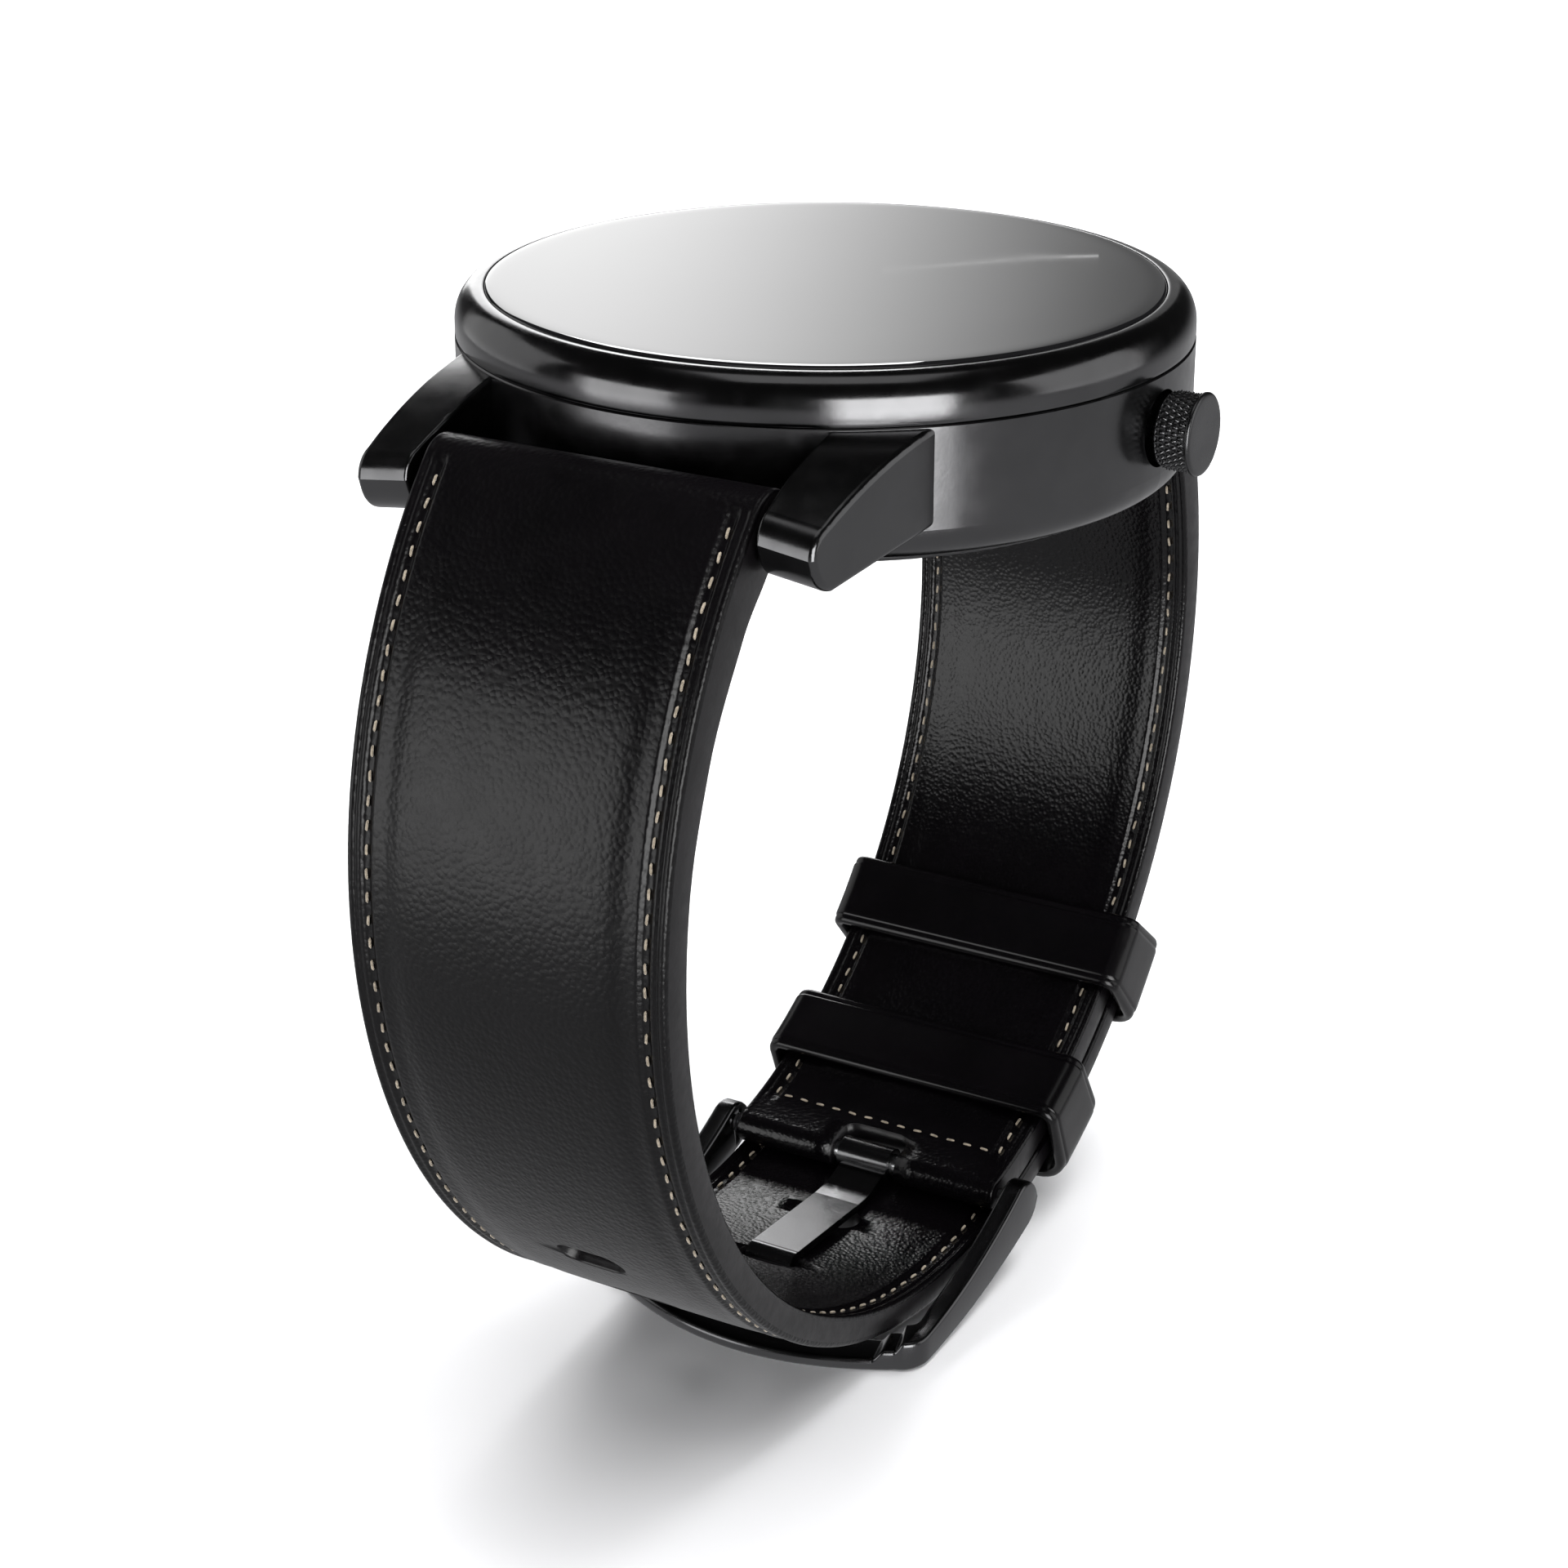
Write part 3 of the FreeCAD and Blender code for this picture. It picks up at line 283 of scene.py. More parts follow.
def soften(node, width):
    """Rounds the sharp rims of a CAD part."""
    rim = frame["nodes"][node].modifiers.new("rim", "BEVEL")
    rim.width = width * MM
    rim.segments = 3
    rim.limit_method = "ANGLE"
    rim.angle_limit = math.radians(35)
    rim.harden_normals = True


soften("buckle_tongue", 0.14)


# ---------------------------------------------------------------- mesh helpers
def mesh_piece(name, body, points, faces, materials, marks=None, replaces=()):
    """Smooth mesh in the CAD frame from points in mm; marks gives each face's material."""
    mesh = bpy.data.meshes.new(name)
    mesh.from_pydata([(p[0] * MM, p[1] * MM, p[2] * MM) for p in points], [], faces)
    for each in materials:
        mesh.materials.append(each)
    for index, polygon in enumerate(mesh.polygons):
        polygon.use_smooth = True
        if marks is not None:
            polygon.material_index = marks[index]
    mesh.validate()
    tool = bmesh.new()
    tool.from_mesh(mesh)
    bmesh.ops.recalc_face_normals(tool, faces=tool.faces)
    tool.to_mesh(mesh)
    tool.free()
    piece = bpy.data.objects.new(name, mesh)
    bpy.context.scene.collection.objects.link(piece)
    if body:
        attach(piece, body)
    if replaces:
        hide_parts(*replaces)
    return piece


def grid_faces(rows, columns, closed_rows=False, closed_columns=False):
    """Quads of a grid of points; a closed direction joins its last line to its first."""
    faces = []
    for i in range(rows if closed_rows else rows - 1):
        for j in range(columns if closed_columns else columns - 1):
            a, b = i * columns + j, i * columns + (j + 1) % columns
            c, d = ((i + 1) % rows) * columns + (j + 1) % columns, ((i + 1) % rows) * columns + j
            faces.append((a, b, c, d))
    return faces


def tube_faces(rings, around):
    """Quads of a tube of rings and a flat face at both ends."""
    faces = grid_faces(rings, around, closed_columns=True)
    return faces + [tuple(range(around)), tuple(range((rings - 1) * around, rings * around))]


def lathe(name, body, profile, materials, steps=256, replaces=(), capped=False):
    """Profile of (radius, z) points turned about Z; a capped one ends in a flat disc at both ends."""
    points = []
    for i in range(steps):
        angle = 2 * math.pi * i / steps
        points += [(r * math.cos(angle), r * math.sin(angle), z) for r, z in profile]
    count = len(profile)
    faces = grid_faces(steps, count, closed_rows=True, closed_columns=not capped)
    if capped:
        faces += [tuple(i * count + end for i in range(steps)) for end in (0, count - 1)]
    return mesh_piece(name, body, points, faces, materials, replaces=replaces)


def fillet_path(corners, radius, steps=5):
    """Open path through (u, v) corners with each inner corner rounded."""
    path = [Vector(corners[0])]
    for before, corner, after in zip(corners, corners[1:], corners[2:]):
        corner, before, after = Vector(corner), Vector(before), Vector(after)
        reach = min(radius, (before - corner).length * 0.45, (after - corner).length * 0.45)
        a = corner + (before - corner).normalized() * reach
        b = corner + (after - corner).normalized() * reach
        for k in range(steps + 1):
            t = k / steps
            path.append(a * (1 - t) ** 2 + corner * 2 * t * (1 - t) + b * t ** 2)
    path.append(Vector(corners[-1]))
    return path


def cut(piece, cutters):
    """Takes the cutters out of a piece and applies the result."""
    for cutter in cutters:
        modifier = piece.modifiers.new("cut", "BOOLEAN")
        modifier.operation = "DIFFERENCE"
        modifier.solver = "EXACT"
        modifier.object = cutter
    depsgraph = bpy.context.evaluated_depsgraph_get()
    mesh = bpy.data.meshes.new_from_object(piece.evaluated_get(depsgraph))
    piece.modifiers.clear()
    piece.data = mesh
    for cutter in cutters:
        bpy.data.objects.remove(cutter)


# ---------------------------------------------------------------- straps
# Distance from the strap's edge and height of the face there: bead, groove, ridge, stitch channel,
# shoulder and padded middle.
OUTER_FACE = [(0.0, -0.34), (0.02, -0.20), (0.07, -0.08), (0.16, 0.01), (0.28, 0.04), (0.40, 0.02),
              (0.49, -0.05), (0.56, -0.10), (0.64, -0.09), (0.74, -0.03), (0.86, -0.01), (0.96, -0.03),
              (1.04, -0.10), (1.12, -0.17), (1.24, -0.20), (1.48, -0.20), (1.58, -0.18), (1.66, -0.11),
              (1.74, -0.02), (1.82, 0.04), (1.94, 0.06), (2.2, 0.05), (2.6, 0.05), (3.0, 0.09), (3.4, 0.17),
              (3.9, 0.23), (4.8, 0.27), (6.2, 0.30), (8.0, 0.31), (9.4, 0.32)]
BEAD_END, PAD_START, PAD_FOOT = 0.42, 2.6, 0.05
FULL_HALF, NARROW_HALF = 10.5, 10.0    # the relief is squeezed where a strap is narrower
FULL_THICKNESS = 1.6          # a strap at least this thick has its whole relief
LINING_RELIEF = 0.8
EDGE_END = 0.3                # height over the lining where the painted edge ends
EDGE_BULGE = 0.06
EDGE_STEPS = 4
TOP_MARK, LINING_MARK, EDGE_MARK = 0, 1, 2


def face_height(distance, channel, padding):
    """Height of a strap's face at a distance from its edge."""
    height = OUTER_FACE[-1][1]
    for (a, va), (b, vb) in zip(OUTER_FACE, OUTER_FACE[1:]):
        if distance <= b:
            height = va + (vb - va) * (distance - a) / (b - a)
            break
    if distance > PAD_START:
        return PAD_FOOT * channel + (height - PAD_FOOT) * padding
    if distance > BEAD_END:
        return height * channel
    return height


def painted_side(start, end, bulge):
    """Points between two corners of a section, pushed outwards."""
    steps = [k / EDGE_STEPS for k in range(1, EDGE_STEPS)]
    return [start.lerp(end, t) + Vector((bulge * math.sin(math.pi * t), 0, 0)) for t in steps]


def strap_section(outer, inner, half, channel, padding):
    """Closed ring of points: outer face, one side, lining, other side."""
    outer, inner = Vector((0, *outer)), Vector((0, *inner))
    thickness = (outer - inner).length
    up = (outer - inner).normalized() if thickness > 1e-6 else Vector((0, 0, 1))
    scale = min(1.0, thickness / FULL_THICKNESS)
    insets = [d * half / FULL_HALF if half < NARROW_HALF else d for d, _ in OUTER_FACE]
    across = [-half + d for d in insets] + [half - d for d in reversed(insets)]
    heights = [face_height(d, channel, padding) * scale for d, _ in OUTER_FACE]
    heights += list(reversed(heights))
    ring = [outer + Vector((x, 0, 0)) + up * h for x, h in zip(across, heights)]
    corners = [inner + Vector((side * half, 0, 0)) + up * EDGE_END * scale for side in (1, -1)]
    ring += painted_side(ring[-1], corners[0], EDGE_BULGE * scale)
    ring += [inner + Vector((x, 0, 0)) - up * (h * LINING_RELIEF)
             for x, h in zip(reversed(across), reversed(heights))]
    return ring + painted_side(corners[1], ring[0], -EDGE_BULGE * scale)


def strap(name, body, stations, replaces):
    """Loft of one strap, closed off flat at both ends.

    Each station is (outer point, inner point, half width, channel depth 0..1, padding 0..1);
    points are (y, z).
    """
    points = []
    for station in stations:
        points += strap_section(*station)
    count = len(points) // len(stations)
    side = 2 * len(OUTER_FACE)
    lining = side + EDGE_STEPS - 1
    faces = grid_faces(len(stations), count, closed_columns=True)
    marks = []
    for index in range(len(faces)):
        j = index % count
        if j < side - 1:
            marks.append(TOP_MARK)
        elif lining <= j < lining + side - 1:
            marks.append(LINING_MARK)
        else:
            marks.append(EDGE_MARK)
    for start in (0, (len(stations) - 1) * count):
        for j in range(side - 1):
            under = start + lining + side - 1 - j
            faces.append((start + j, start + j + 1, under - 1, under))
            marks.append(TOP_MARK)
        for low, high in ((side - 1, lining), (lining + side - 1, count)):
            faces.append(tuple(start + k % count for k in range(low, high + 1)))
            marks.append(EDGE_MARK)
    return mesh_piece(name, body, points, faces, [STRAP, LINING, EDGE], marks, replaces)


def nose(bar, wrap, direction, steps=10):
    """(outer, inner) points of the rounded fold past a spring bar; direction points off the strap."""
    bar, direction = Vector(bar), Vector(direction).normalized()
    normal = Vector((direction.y, -direction.x))
    sections = []
    for k in range(steps, -1, -1):
        phi = math.radians(88.0 * k / steps)
        middle = bar + direction * wrap * math.sin(phi)
        sections.append((middle + normal * wrap * math.cos(phi), middle - normal * wrap * math.cos(phi)))
    return sections


def polar(centre, radius, degrees):
    """(y, z) of a point on a circle."""
    point = at(centre, radius, degrees)
    return (point.y, point.z)


def fold(bar, wrap, tangent, centre):
    """Stations of a strap's rounded fold past a spring bar, from its far end to the band."""
    away = at((0, 0), 1.0, tangent)
    stations = []
    for outer, inner in nose(bar, wrap, (away.y, away.z)):
        if (outer - Vector(centre)).length < (inner - Vector(centre)).length:
            outer, inner = inner, outer
        stations.append((tuple(outer), tuple(inner), half_width(outer.y) - 0.02, 0.0, 0.0))
    return stations


LONG_OUTER_R = 37.4
LONG_START, LONG_TIP, LONG_TAIL = 138.15, 312.5, 324.5    # lug end, start of the pointed tip, its end
LONG_INNER = [(LONG_START, 33.05), (141.5, 33.9), (148.0, 34.30), (160.0, 34.72), (172.0, 34.98),
              (200.0, 35.10), (235.0, 35.42), (262.0, 35.52), (325.0, 35.52)]


def long_strap():
    """Strap half with the holes, from the lugs round the bottom and through the keepers."""
    stations = fold((-LUG_BAR[0], LUG_BAR[1]), 2.18, LONG_START - 90, LONG_CENTRE)
    steps = 300
    for i in range(1, steps + 1):
        angle = LONG_START + (LONG_TAIL - LONG_START) * i / steps
        inner_r = follow(LONG_INNER, angle)
        outer = polar(LONG_CENTRE, LONG_OUTER_R, angle)
        half = half_width(outer[1])
        if angle > LONG_TIP:
            past = (angle - LONG_TIP) / (LONG_TAIL - LONG_TIP)
            half *= math.sqrt(max(0.0004, 1 - (past * 0.995) ** 2))
        channel = smooth(135.5, 139.0, angle) * (1 - smooth(304.0, 310.0, angle))
        padding = smooth(143.0, 158.0, angle) * (1 - 0.75 * smooth(200.0, 240.0, angle))
        stations.append((outer, polar(LONG_CENTRE, inner_r, angle), half, channel, padding))
    piece = strap("long_strap", "watch", stations,
                  ("long_strap_outer", "long_strap_core", "long_strap_lining"))
    cut(piece, [punch(angle) for angle in HOLE_ANGLES])
    return piece


def punch(angle):
    """Oblong cutter for one hole; levels are (radius of the band, how much wider it is there)."""
    long_half, radius = 2.2, 1.12
    levels = [(33.5, 0.0), (35.2, 0.16), (35.5, 0.10), (35.7, 0.0), (36.9, 0.0), (37.2, 0.05),
              (37.45, 0.16), (39.0, 0.3)]
    along = at((0, 0), 1.0, angle - 90)
    points = []
    steps = 40
    for level, grow in levels:
        for k in range(steps):
            turn = 2 * math.pi * k / steps
            u = (radius + grow) * math.cos(turn) + math.copysign(long_half - radius, math.cos(turn))
            v = (radius + grow) * math.sin(turn)
            points.append(at(LONG_CENTRE, level, angle) + Vector((u, 0, 0)) + along * v)
    return mesh_piece("punch", None, points, tube_faces(len(levels), steps), [EDGE])


SHORT_OUT_R, SHORT_IN_R = 36.2, 33.95
SHORT_START, SHORT_END = -78.6, 42.1    # buckle end, lug end
SHORT_PADDING = 0.8
SHORT_INNER = [(SHORT_START, 33.93), (-60.0, 33.95), (0.0, 33.85), (15.0, 33.6), (30.0, 33.1),
               (38.0, 32.7), (SHORT_END, 31.95)]


def short_strap():
    """Strap half with the buckle, from the buckle's bar up to the lugs."""
    stations = []
    steps = 200
    for i in range(steps + 1):
        angle = SHORT_START + (SHORT_END - SHORT_START) * i / steps
        outer = polar(BAND_CENTRE, SHORT_OUT_R, angle)
        channel = smooth(-76.0, -73.5, angle) * (1 - smooth(33.0, 39.0, angle))
        padding = smooth(-72.0, -66.0, angle) * (1 - smooth(22.0, 37.0, angle)) * SHORT_PADDING
        inner_r = follow(SHORT_INNER, angle)
        stations.append((outer, polar(BAND_CENTRE, inner_r, angle), half_width(outer[1]), channel, padding))
    buckle_fold = fold(BUCKLE_BAR, 1.14, SHORT_START - 90, BAND_CENTRE)[:-1]
    lug_fold = fold(LUG_BAR, 2.12, SHORT_END + 90, BAND_CENTRE)[:-1]
    piece = strap("short_strap", "watch", buckle_fold + stations + lug_fold[::-1],
                  ("short_strap_outer", "short_strap_core", "short_strap_lining"))
    cut(piece, [notch_cutter()])
    return piece


def notch_cutter():
    """U-shaped cutter for the tongue's room at the buckle."""
    half, depth, lean = 2.55, 1.95, -0.2
    outline = fillet_path([(-half, -6.0), (-half, depth), (half, depth), (half, -6.0)], 1.1, 6)
    points = []
    for z in (-56.0, -48.0):
        points += [Vector((p.x, BUCKLE_BAR[0] + p.y + (z - BUCKLE_BAR[1]) * lean, z)) for p in outline]
    return mesh_piece("notch", None, points, tube_faces(2, len(outline)), [EDGE])


# ---------------------------------------------------------------- stitches
def stitch_shape(length, width, rise):
    """Closed little strand: ends dip under the leather and the middle stands proud."""
    rings, around = 9, 8
    points = []
    for i in range(rings):
        t = -1 + 2 * i / (rings - 1)
        swell = math.sqrt(max(0.10, 1 - t ** 8))
        centre = rise * (1 - t ** 4)
        for k in range(around):
            turn = 2 * math.pi * k / around
            points.append((t * length / 2, math.cos(turn) * width / 2 * swell,
                           centre + math.sin(turn) * width / 2 * swell))
    return points, tube_faces(rings, around)


def stitches(name, body, places, replaces):
    """One mesh of all the stitches; a place is (point, along, out)."""
    shape, shape_faces = stitch_shape(length=0.66, width=0.17, rise=0.05)
    points, faces = [], []
    for index, (point, along, out) in enumerate(places):
        side = out.cross(along).normalized()
        lean = 0.10 * math.sin(index * 2.4)
        along = (along + side * lean).normalized()
        side = out.cross(along).normalized()
        base = len(points)
        points += [point + along * u + side * v + out * w for u, v, w in shape]
        faces += [tuple(base + k for k in face) for face in shape_faces]
    return mesh_piece(name, body, points, faces, [THREAD], replaces=replaces)


def pair(centre, radius, angle, outward):
    """Places of two stitches, one at each side of a band."""
    out = at((0, 0), 1.0, angle) * (1 if outward else -1)
    along = at((0, 0), 1.0, angle + 90)
    places = []
    for side in (-1, 1):
        point = at(centre, radius, angle)
        point.x = side * (half_width(point.z) - CHANNEL)
        places.append((point, along, out))
    return places


def row(centre, radius, start, end, outward):
    """Places of a row of stitches along both sides of a band."""
    places = []
    count = int(abs(math.radians(end - start)) * radius / STITCH_PITCH)
    for i in range(count + 1):
        places += pair(centre, radius, start + (end - start) * i / count, outward)
    return places


def strap_stitches():
    """Rows along both faces of both straps, and one across the end of the short one's lining."""
    depth = 0.15
    lining_depth = depth * LINING_RELIEF
    places = row(LONG_CENTRE, LONG_OUTER_R - depth, 140.4, 307.0, True)
    for start, end in ((149.0, 172.0), (172.6, 234.4), (235.0, 306.0)):
        middle = (follow(LONG_INNER, start) + follow(LONG_INNER, end)) / 2
        count = max(2, int(math.radians(end - start) * middle / STITCH_PITCH))
        for i in range(count + 1):
            angle = start + (end - start) * i / count
            places += pair(LONG_CENTRE, follow(LONG_INNER, angle) + lining_depth, angle, False)
    stitches("long_strap_stitches", "watch", places, ("long_strap_stitching",))
    places = row(BAND_CENTRE, SHORT_OUT_R - depth, 33.0, -73.0, True)
    places += row(BAND_CENTRE, SHORT_IN_R + lining_depth, -1.0, -73.4, False)
    count = 14
    for i in range(count):
        angle = 1.2 + 31.0 * i / (count - 1)
        places += pair(BAND_CENTRE, follow(SHORT_INNER, angle) + lining_depth, angle, False)
    across, count, pitch = -74.2, 13, 1.3
    for i in range(count):
        point = at(BAND_CENTRE, SHORT_IN_R, across, -7.8 + pitch * i)
        places.append((point, Vector((1, 0, 0)), at((0, 0), -1.0, across)))
    stitches("short_strap_stitches", "watch", places, ("short_strap_stitching",))


# ---------------------------------------------------------------- keepers
KEEPER_HALF, KEEPER_LOW, KEEPER_HIGH = 11.12, 33.23, 39.98    # mid-line of the loop's wall
KEEPER_LOW_CORNER, KEEPER_HIGH_CORNER = 0.80, 2.0
KEEPER_WIDTH = 5.9
KEEPER_BEND = 36.0            # radius that turns a length along the band into an angle
# Wall of a keeper across its width, from the middle of the outer face round one edge to the
# middle of the inner face: flat face, crisp fold line, sloping edge, rolled rim.
KEEPER_WALL = [(0.0, 0.47), (0.5, 0.475), (0.68, 0.48), (0.73, 0.47), (0.76, 0.43), (0.78, 0.39),
               (0.80, 0.39), (0.84, 0.41), (0.90, 0.38), (0.95, 0.31), (0.985, 0.20), (1.0, 0.05),
               (0.99, -0.14), (0.96, -0.27), (0.90, -0.33), (0.75, -0.36), (0.4, -0.38), (0.0, -0.38)]


def keeper(name, body, angle, replaces):
    """Leather loop with a sloping, rolled edge on both sides."""
    path = []
    low, high = (KEEPER_LOW, KEEPER_LOW_CORNER), (KEEPER_HIGH, KEEPER_HIGH_CORNER)
    corners = [(KEEPER_HALF, *low), (KEEPER_HALF, *high), (-KEEPER_HALF, *high), (-KEEPER_HALF, *low)]
    for index, (x, r, corner) in enumerate(corners):
        centre = (x - math.copysign(corner, x), r + corner if r == KEEPER_LOW else r - corner)
        for k in range(11):
            turn = math.radians(-90 + 90 * index + 9 * k)
            path.append((centre[0] + corner * math.cos(turn), centre[1] + corner * math.sin(turn),
                         math.cos(turn), math.sin(turn)))
    loop, longest = [], 1.2
    for start, end in zip(path, path[1:] + path[:1]):
        gap = max(1, int(math.hypot(end[0] - start[0], end[1] - start[1]) / longest))
        for k in range(gap):
            loop.append([a + (b - a) * k / gap for a, b in zip(start[:2], end[:2])] + list(start[2:]))
    half_section = [(along * KEEPER_WIDTH / 2, off) for along, off in KEEPER_WALL]
    section = half_section[:-1] + [(-along, off) for along, off in reversed(half_section[1:])]
    points = []
    for x, r, nx, nr in loop:
        for along, off in section:
            place = angle + math.degrees(along / KEEPER_BEND)
            points.append(at(BAND_CENTRE, r + nr * off, place, x + nx * off))
    faces = grid_faces(len(loop), len(section), closed_rows=True, closed_columns=True)
    return mesh_piece(name, body, points, faces, [KEEPER], replaces=replaces)


# ---------------------------------------------------------------- buckle
ARM_OUT, ARM_IN = 12.2, 10.75
ARM_FOOT, BOW_TOP = -8.0, -54.65     # where the arms meet the bow, and their height there
ARM_TOP = ((6.0, -50.75), (0.2, -53.1), (ARM_FOOT, BOW_TOP))
ARM_UNDER = ((7.6, -53.95), (0.8, -55.75), (ARM_FOOT, -56.65))
ARM_END = (6.985, -52.258, 1.8)      # (y, z, radius) of the round end at the spring bar
BUCKLE_REST_Z = -56.8
BOW_CORNER = 1.9
BOW_FRONT, BOW_BACK = -12.3, -9.2    # edges of the bow in the middle
BOW_STEPS = ((10.6, 11.2, 0.65), (9.3, 10.0, 0.62))    # (inner side, outer side, fall) of each step


def parabola(points, place):
    """Height of the parabola through three (place, height) points."""
    (a, va), (b, vb), (c, vc) = points
    return (va * (place - b) * (place - c) / ((a - b) * (a - c))
            + vb * (place - a) * (place - c) / ((b - a) * (b - c))
            + vc * (place - a) * (place - b) / ((c - a) * (c - b)))


def arm_heights(y):
    """Underside and top of an arm at a distance along it."""
    low, high = parabola(ARM_UNDER, max(y, ARM_FOOT)), parabola(ARM_TOP, max(y, ARM_FOOT))
    middle, centre, radius = ARM_END
    rise = math.sqrt(max(0.0, radius ** 2 - (y - middle) ** 2))
    if y > ARM_TOP[0][0]:
        high = centre + rise
    if y > ARM_UNDER[0][0]:
        low = centre - rise
    return low, high


def bow_corner(side, start, corner, end):
    """Rounded corner of (x, y) points between an arm and the bow."""
    return [tuple(p) for p in fillet_path([(side, start), (side, corner), end], BOW_CORNER, 14)[1:-1]]


def rounded_section(width, low, high):
    """Rounded rectangle of (distance from the outside, height)."""
    radius = min(0.30, (high - low) * 0.42, width * 0.3)
    ring = []
    for u, z, first in ((radius, low + radius, 270), (radius, high - radius, 180),
                        (width - radius, high - radius, 90), (width - radius, low + radius, 0)):
        for k in range(6):
            turn = math.radians(first - 18 * k)
            ring.append((u + radius * math.cos(turn), z + radius * math.sin(turn)))
    return ring


def buckle():
    """Two arms and a bowed front bar that steps down where the strap passes over it."""
    arm = [8.78, 8.74, 8.66, 8.52, 8.32, 8.05, 7.7, 7.3, 6.8, 6.3, 5.8] + [5.0 - 0.8 * k for k in range(13)]
    stations = [((ARM_OUT, y), (ARM_IN, y)) for y in arm]
    outer = bow_corner(ARM_OUT, -4.6, -8.75, (8.6, -9.75))
    inner = bow_corner(ARM_IN, -4.6, -6.5, (7.2, -7.5))
    stations += list(zip(outer, inner))
    out_x, out_y = outer[-1]
    in_x, in_y = inner[-1]
    steps = 120
    for k in range(1, steps // 2 + 1):
        t = 1 - 2 * k / steps
        stations.append(((out_x * t, BOW_FRONT + (out_y - BOW_FRONT) * t * t),
                         (in_x * t, BOW_BACK + (in_y - BOW_BACK) * t * t)))
    fine = stations[:len(arm)]
    for (a, b), (c, d) in zip(stations[len(arm) - 1:], stations[len(arm):]):
        parts = 5 if a[0] > 9.0 else 1
        fine += [(tuple(Vector(a).lerp(Vector(c), k / parts)), tuple(Vector(b).lerp(Vector(d), k / parts)))
                 for k in range(1, parts + 1)]
    whole = fine + [((-a[0], a[1]), (-b[0], b[1])) for a, b in reversed(fine[:-1])]
    points = []
    for out_point, in_point in whole:
        low, high = arm_heights(out_point[1])
        side = abs(out_point[0])
        if out_point[1] < ARM_FOOT:
            drop = sum(fall * (1 - smooth(start, end, side)) for start, end, fall in BOW_STEPS)
            high = min(high, BOW_TOP - drop)
            low += (BUCKLE_REST_Z - low) * smooth(ARM_FOOT, -9.5, out_point[1])
        width = math.dist(out_point, in_point)
        for u, z in rounded_section(width, low, high):
            t = u / width
            points.append((out_point[0] + (in_point[0] - out_point[0]) * t,
                           out_point[1] + (in_point[1] - out_point[1]) * t, z))
    faces = tube_faces(len(whole), len(points) // len(whole))
    piece = mesh_piece("buckle_bow", "buckle_frame", points, faces, [BUCKLE],
                       replaces=("buckle_frame",))
    cut(piece, [bar_hole(side) for side in (-1, 1)])
    return piece


def bar_hole(side):
    """Cutter for the blind hole that a spring bar's tip sits in."""
    radius, around = 0.45, 24
    points = []
    for x in (10.4, 11.7):
        for k in range(around):
            turn = 2 * math.pi * k / around
            points.append((side * x, BUCKLE_BAR[0] + radius * math.cos(turn),
                           BUCKLE_BAR[1] + radius * math.sin(turn)))
    return mesh_piece("hole", None, points, tube_faces(2, around), [BUCKLE])


# ---------------------------------------------------------------- crown, bezel and glass
def knurled_crown():
    """Barrel with crossed diamond knurling between a plain neck and the cap."""
    x0, x1, radius = 22.95, 24.84, 2.36
    profile = [(21.75, 1.62), (21.75, 1.98), (22.74, 1.98), (22.84, 2.06), (x0, 2.2)]
    tail = [(x1, 2.2), (x1, 0.68)]
    rows, around = 56, 432
    points = []
    rings = [(x, r, False) for x, r in profile]
    rings += [(x0 + (x1 - x0) * i / rows, radius, True) for i in range(rows + 1)]
    rings += [(x, r, False) for x, r in tail]
    starts, pitch = 34, (x1 - x0) / 5
    for x, r, knurled in rings:
        for k in range(around):
            turn = 2 * math.pi * k / around
            depth = 0.0
            if knurled:
                a = abs((starts * turn / (2 * math.pi) + (x - x0) / pitch / 2) % 1.0 - 0.5) * 2
                b = abs((starts * turn / (2 * math.pi) - (x - x0) / pitch / 2) % 1.0 - 0.5) * 2
                edge = min(1.0, min(x - x0, x1 - x) / 0.15)
                depth = 0.20 * (1 - min(1.0, 1.25 * ((1 - a) * (1 - b)) ** 1.6)) + 0.10 * (1 - edge)
            points.append((x, (r - depth) * math.cos(turn), CROWN_Z + (r - depth) * math.sin(turn)))
    return mesh_piece("crown_knurled_knob", "crown", points, tube_faces(len(rings), around), [CROWN],
                      replaces=("crown_knob",))


def crown_cap():
    """Thin disc with a rounded rim on the crown's outer end."""
    profile = [(24.84, 2.30), (24.86, 2.42), (24.9, 2.46), (25.02, 2.46), (25.08, 2.43), (25.13, 2.36),
               (25.155, 2.26), (25.16, 2.1), (25.15, 1.4), (25.145, 0.7), (25.145, 0.02)]
    around = 128
    points = []
    for x, r in profile:
        for k in range(around):
            turn = 2 * math.pi * k / around
            points.append((x, r * math.cos(turn), CROWN_Z + r * math.sin(turn)))
    return mesh_piece("crown_end_cap", "crown", points, tube_faces(len(profile), around), [CROWN],
                      replaces=("crown_cap",))


def bezel():
    """Polished ring: eased foot at the seam, full rounded shoulder, narrow flat land by the glass."""
    outer = [(20.72, 8.85), (20.72, 9.64), (22.36, 9.64), (22.43, 9.67), (22.46, 9.73), (22.48, 9.9)]
    for k in range(25):
        turn = math.radians(90 * k / 24)
        outer.append((20.86 + 1.62 * math.cos(turn), 10.45 + 2.02 * math.sin(turn)))
    lip = [(20.73, 12.468), (20.69, 12.45), (20.67, 12.41), (20.66, 12.2), (20.66, 11.2), (19.55, 11.2),
           (19.55, 8.85)]
    return lathe("polished_bezel", "watch", outer + lip, [BEZEL],
                 replaces=("bezel_ring",))


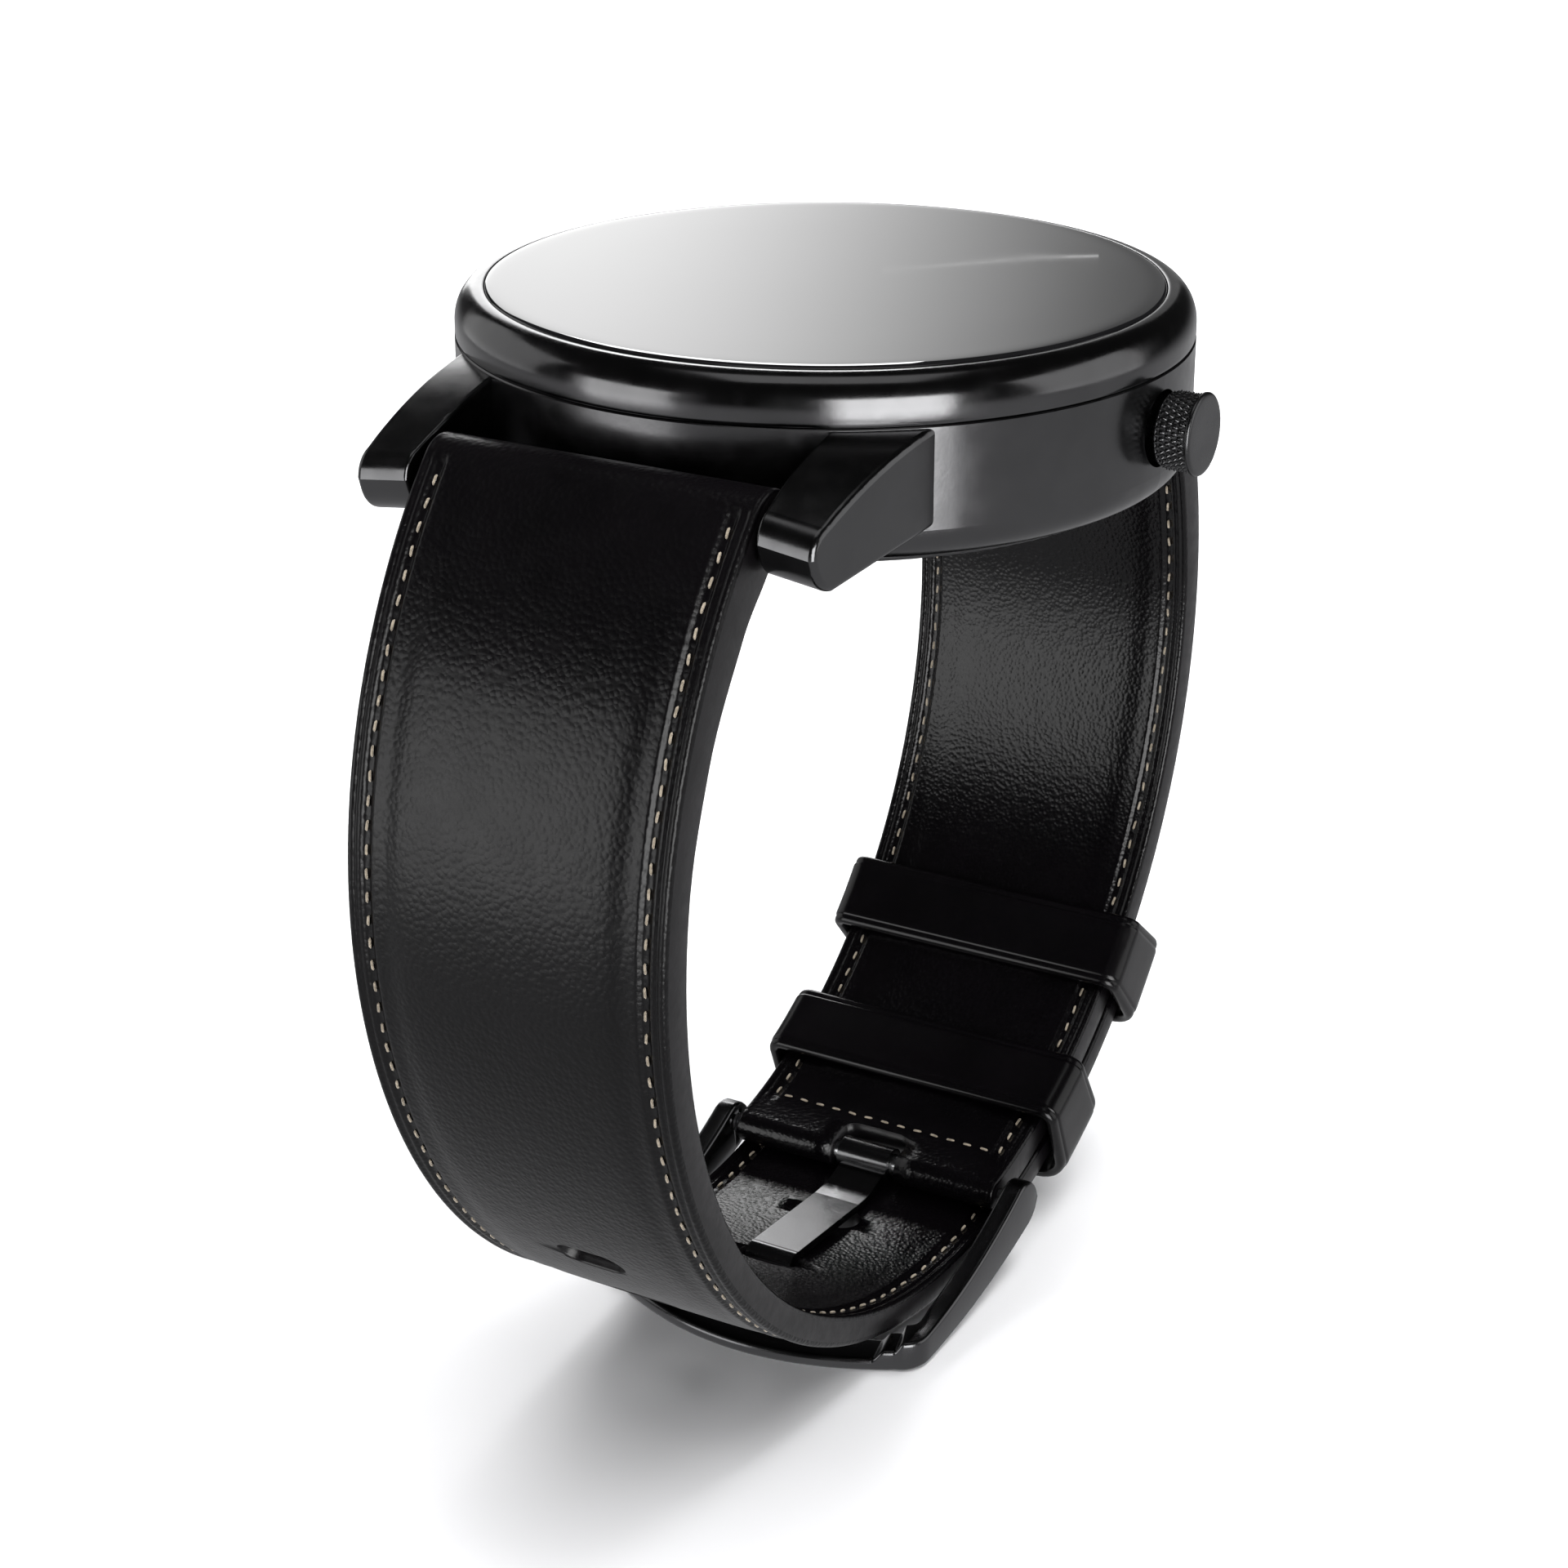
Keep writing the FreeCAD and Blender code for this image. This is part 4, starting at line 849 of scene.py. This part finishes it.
def glass():
    """Cover glass with a rounded edge that stands just proud of the bezel."""
    profile = [(14.0, 11.41), (20.3, 11.41), (20.58, 11.5), (20.64, 12.1), (20.63, 12.36),
               (20.60, 12.44), (20.54, 12.50), (20.42, 12.545), (20.2, 12.575), (19.9, 12.59),
               (19.5, 12.597), (19.0, 12.6), (14.0, 12.6)]
    return lathe("domed_edge_glass", "watch", profile, [GLASS],
                 replaces=("cover_glass",), capped=True)


long_strap()
short_strap()
strap_stitches()
keeper("free_keeper_loop", "free_keeper", -43.7, ("free_keeper",))
keeper("fixed_keeper_loop", "watch", -63.3, ("fixed_keeper",))
knurled_crown()
crown_cap()
buckle()
bezel()
glass()


# ---------------------------------------------------------------- stage, lights and camera
def paper(name, **sockets):
    """Pale matt paper."""
    sheet = Surface(name, **sockets)
    sheet.colour(sheet.noise(60.0, 2), (0.86, 0.86, 0.875), (0.88, 0.88, 0.895))
    sheet.roughness(sheet.noise(30.0), 0.7, 0.8)
    return sheet.material


def floor():
    """Pale sheet that the watch stands on."""
    level = cad_bounds[0][2] / MM
    reach = 6000.0
    corners = ((-1, -1), (1, -1), (1, 1), (-1, 1))
    points = [(x * reach, y * reach, level) for x, y in corners]
    sheet = mesh_piece("floor", None, points, [(0, 1, 2, 3)], [paper("floor_paper")])
    sheet.visible_glossy = False


def backdrop():
    """Pale round wall past the floor's lit part; only the camera sees it."""
    level = cad_bounds[0][2] / MM
    reach, height, steps = 1100.0, 2500.0, 96
    points = []
    for z in (level - 1.0, level + height):
        for k in range(steps):
            turn = 2 * math.pi * k / steps
            points.append((reach * math.cos(turn), reach * math.sin(turn), z))
    glowing = paper("backdrop_paper", Emission_Color=(1.0, 1.0, 1.0, 1.0), Emission_Strength=1.0)
    wall = mesh_piece("backdrop", None, points, grid_faces(2, steps, closed_columns=True), [glowing])
    for ray in ("diffuse", "glossy", "transmission", "shadow"):
        setattr(wall, "visible_" + ray, False)


def softbox(name, azimuth, elevation, distance, size, radiance, target=(0, 0, -0.02), fall=None,
            roll=0.0):
    """Rectangular studio light aimed at target; fall fades it from one side to the other."""
    data = bpy.data.lights.new(name, "AREA")
    data.shape = "RECTANGLE"
    data.size, data.size_y = size
    data.energy = radiance * math.pi * size[0] * size[1]
    box = bpy.data.objects.new(name, data)
    box.visible_camera = False
    bpy.context.scene.collection.objects.link(box)
    turn, lift = math.radians(azimuth), math.radians(elevation)
    towards = Vector((math.cos(turn) * math.cos(lift), math.sin(turn) * math.cos(lift), math.sin(lift)))
    box.location = Vector(target) + towards * distance
    box.rotation_mode = "QUATERNION"
    box.rotation_quaternion = towards.to_track_quat("Z", "Y") @ Quaternion((0, 0, 1), math.radians(roll))
    if fall:
        data.use_nodes = True
        tree = data.node_tree
        place = tree.nodes.new("ShaderNodeNewGeometry").outputs["Parametric"]
        split = tree.nodes.new("ShaderNodeSeparateXYZ")
        tree.links.new(place, split.inputs[0])
        strength = map_range(tree, split.outputs[0], fall)
        tree.links.new(strength, tree.nodes["Emission"].inputs["Strength"])
    return box


def lights():
    """The two wide ones stay out of reflections; the others are what the shiny surfaces show."""
    for name, azimuth, elevation, distance, size, radiance in (
            ("overhead", 90, 86, 1.5, (2.6, 2.4), 2.5), ("back_key", 84, 73, 1.3, (0.9, 0.9), 4.2)):
        box = softbox(name, azimuth, elevation, distance, size, radiance, target=(0, 0, -0.05))
        box.visible_glossy = False
    softbox("back_panel", 120, 10, 0.70, (0.46, 0.36), 2.75, target=(0, 0, 0), fall=(0.24, 0.66, 0.08, 1.0))
    softbox("tube", 114.9, 14.8, 0.507, (0.047, 0.0005), 1.3, target=(0, 0, 0), fall=(0.0, 0.9, 1.0, 0.15),
            roll=6.0)
    softbox("front_right", -41, 4, 0.60, (0.38, 0.46), 6.0)
    softbox("ceiling", -60, 88, 0.60, (0.40, 0.34), 0.6)
    softbox("lining_glint", 122, 31, 0.60, (0.12, 0.07), 7.0, target=(-0.004, 0.0, -0.053))
    softbox("front_left", -122, 2, 0.60, (0.32, 0.36), 2.4)
    softbox("right_fill", 26, 15, 0.60, (0.50, 0.46), 0.9)
    softbox("left_fill", 180, 15, 0.60, (0.54, 0.46), 0.6)


def surroundings():
    """Dark room above the horizon and a grey sweep below it, as shiny surfaces see them."""
    world = bpy.data.worlds.new("studio")
    world.use_nodes = True
    tree = world.node_tree
    background = tree.nodes["Background"]
    background.inputs["Color"].default_value = (0.98, 0.98, 1.0, 1)
    direction = tree.nodes.new("ShaderNodeTexCoord").outputs["Generated"]
    split = tree.nodes.new("ShaderNodeSeparateXYZ")
    tree.links.new(direction, split.inputs[0])
    strength = map_range(tree, split.outputs["Z"], (-0.30, 0.05, 0.45, 0.02))
    tree.links.new(strength, background.inputs["Strength"])
    bpy.context.scene.world = world


def camera():
    """Camera of the photo's view."""
    data = bpy.data.cameras.new("camera")
    data.lens = 73.81
    data.sensor_width = 36.0
    data.clip_start = 0.01
    data.clip_end = 30.0
    view = bpy.data.objects.new("camera", data)
    bpy.context.scene.collection.objects.link(view)
    view.location = (0.09311, -0.16749, 0.05974)
    back = Vector((0.4584, -0.7998, 0.3875))
    view.rotation_mode = "QUATERNION"
    view.rotation_quaternion = back.to_track_quat("Z", "Y")
    bpy.context.scene.camera = view


floor()
backdrop()
lights()
surroundings()
camera()
bpy.context.scene.view_settings.view_transform = "Standard"
bpy.context.scene.view_settings.look = "None"
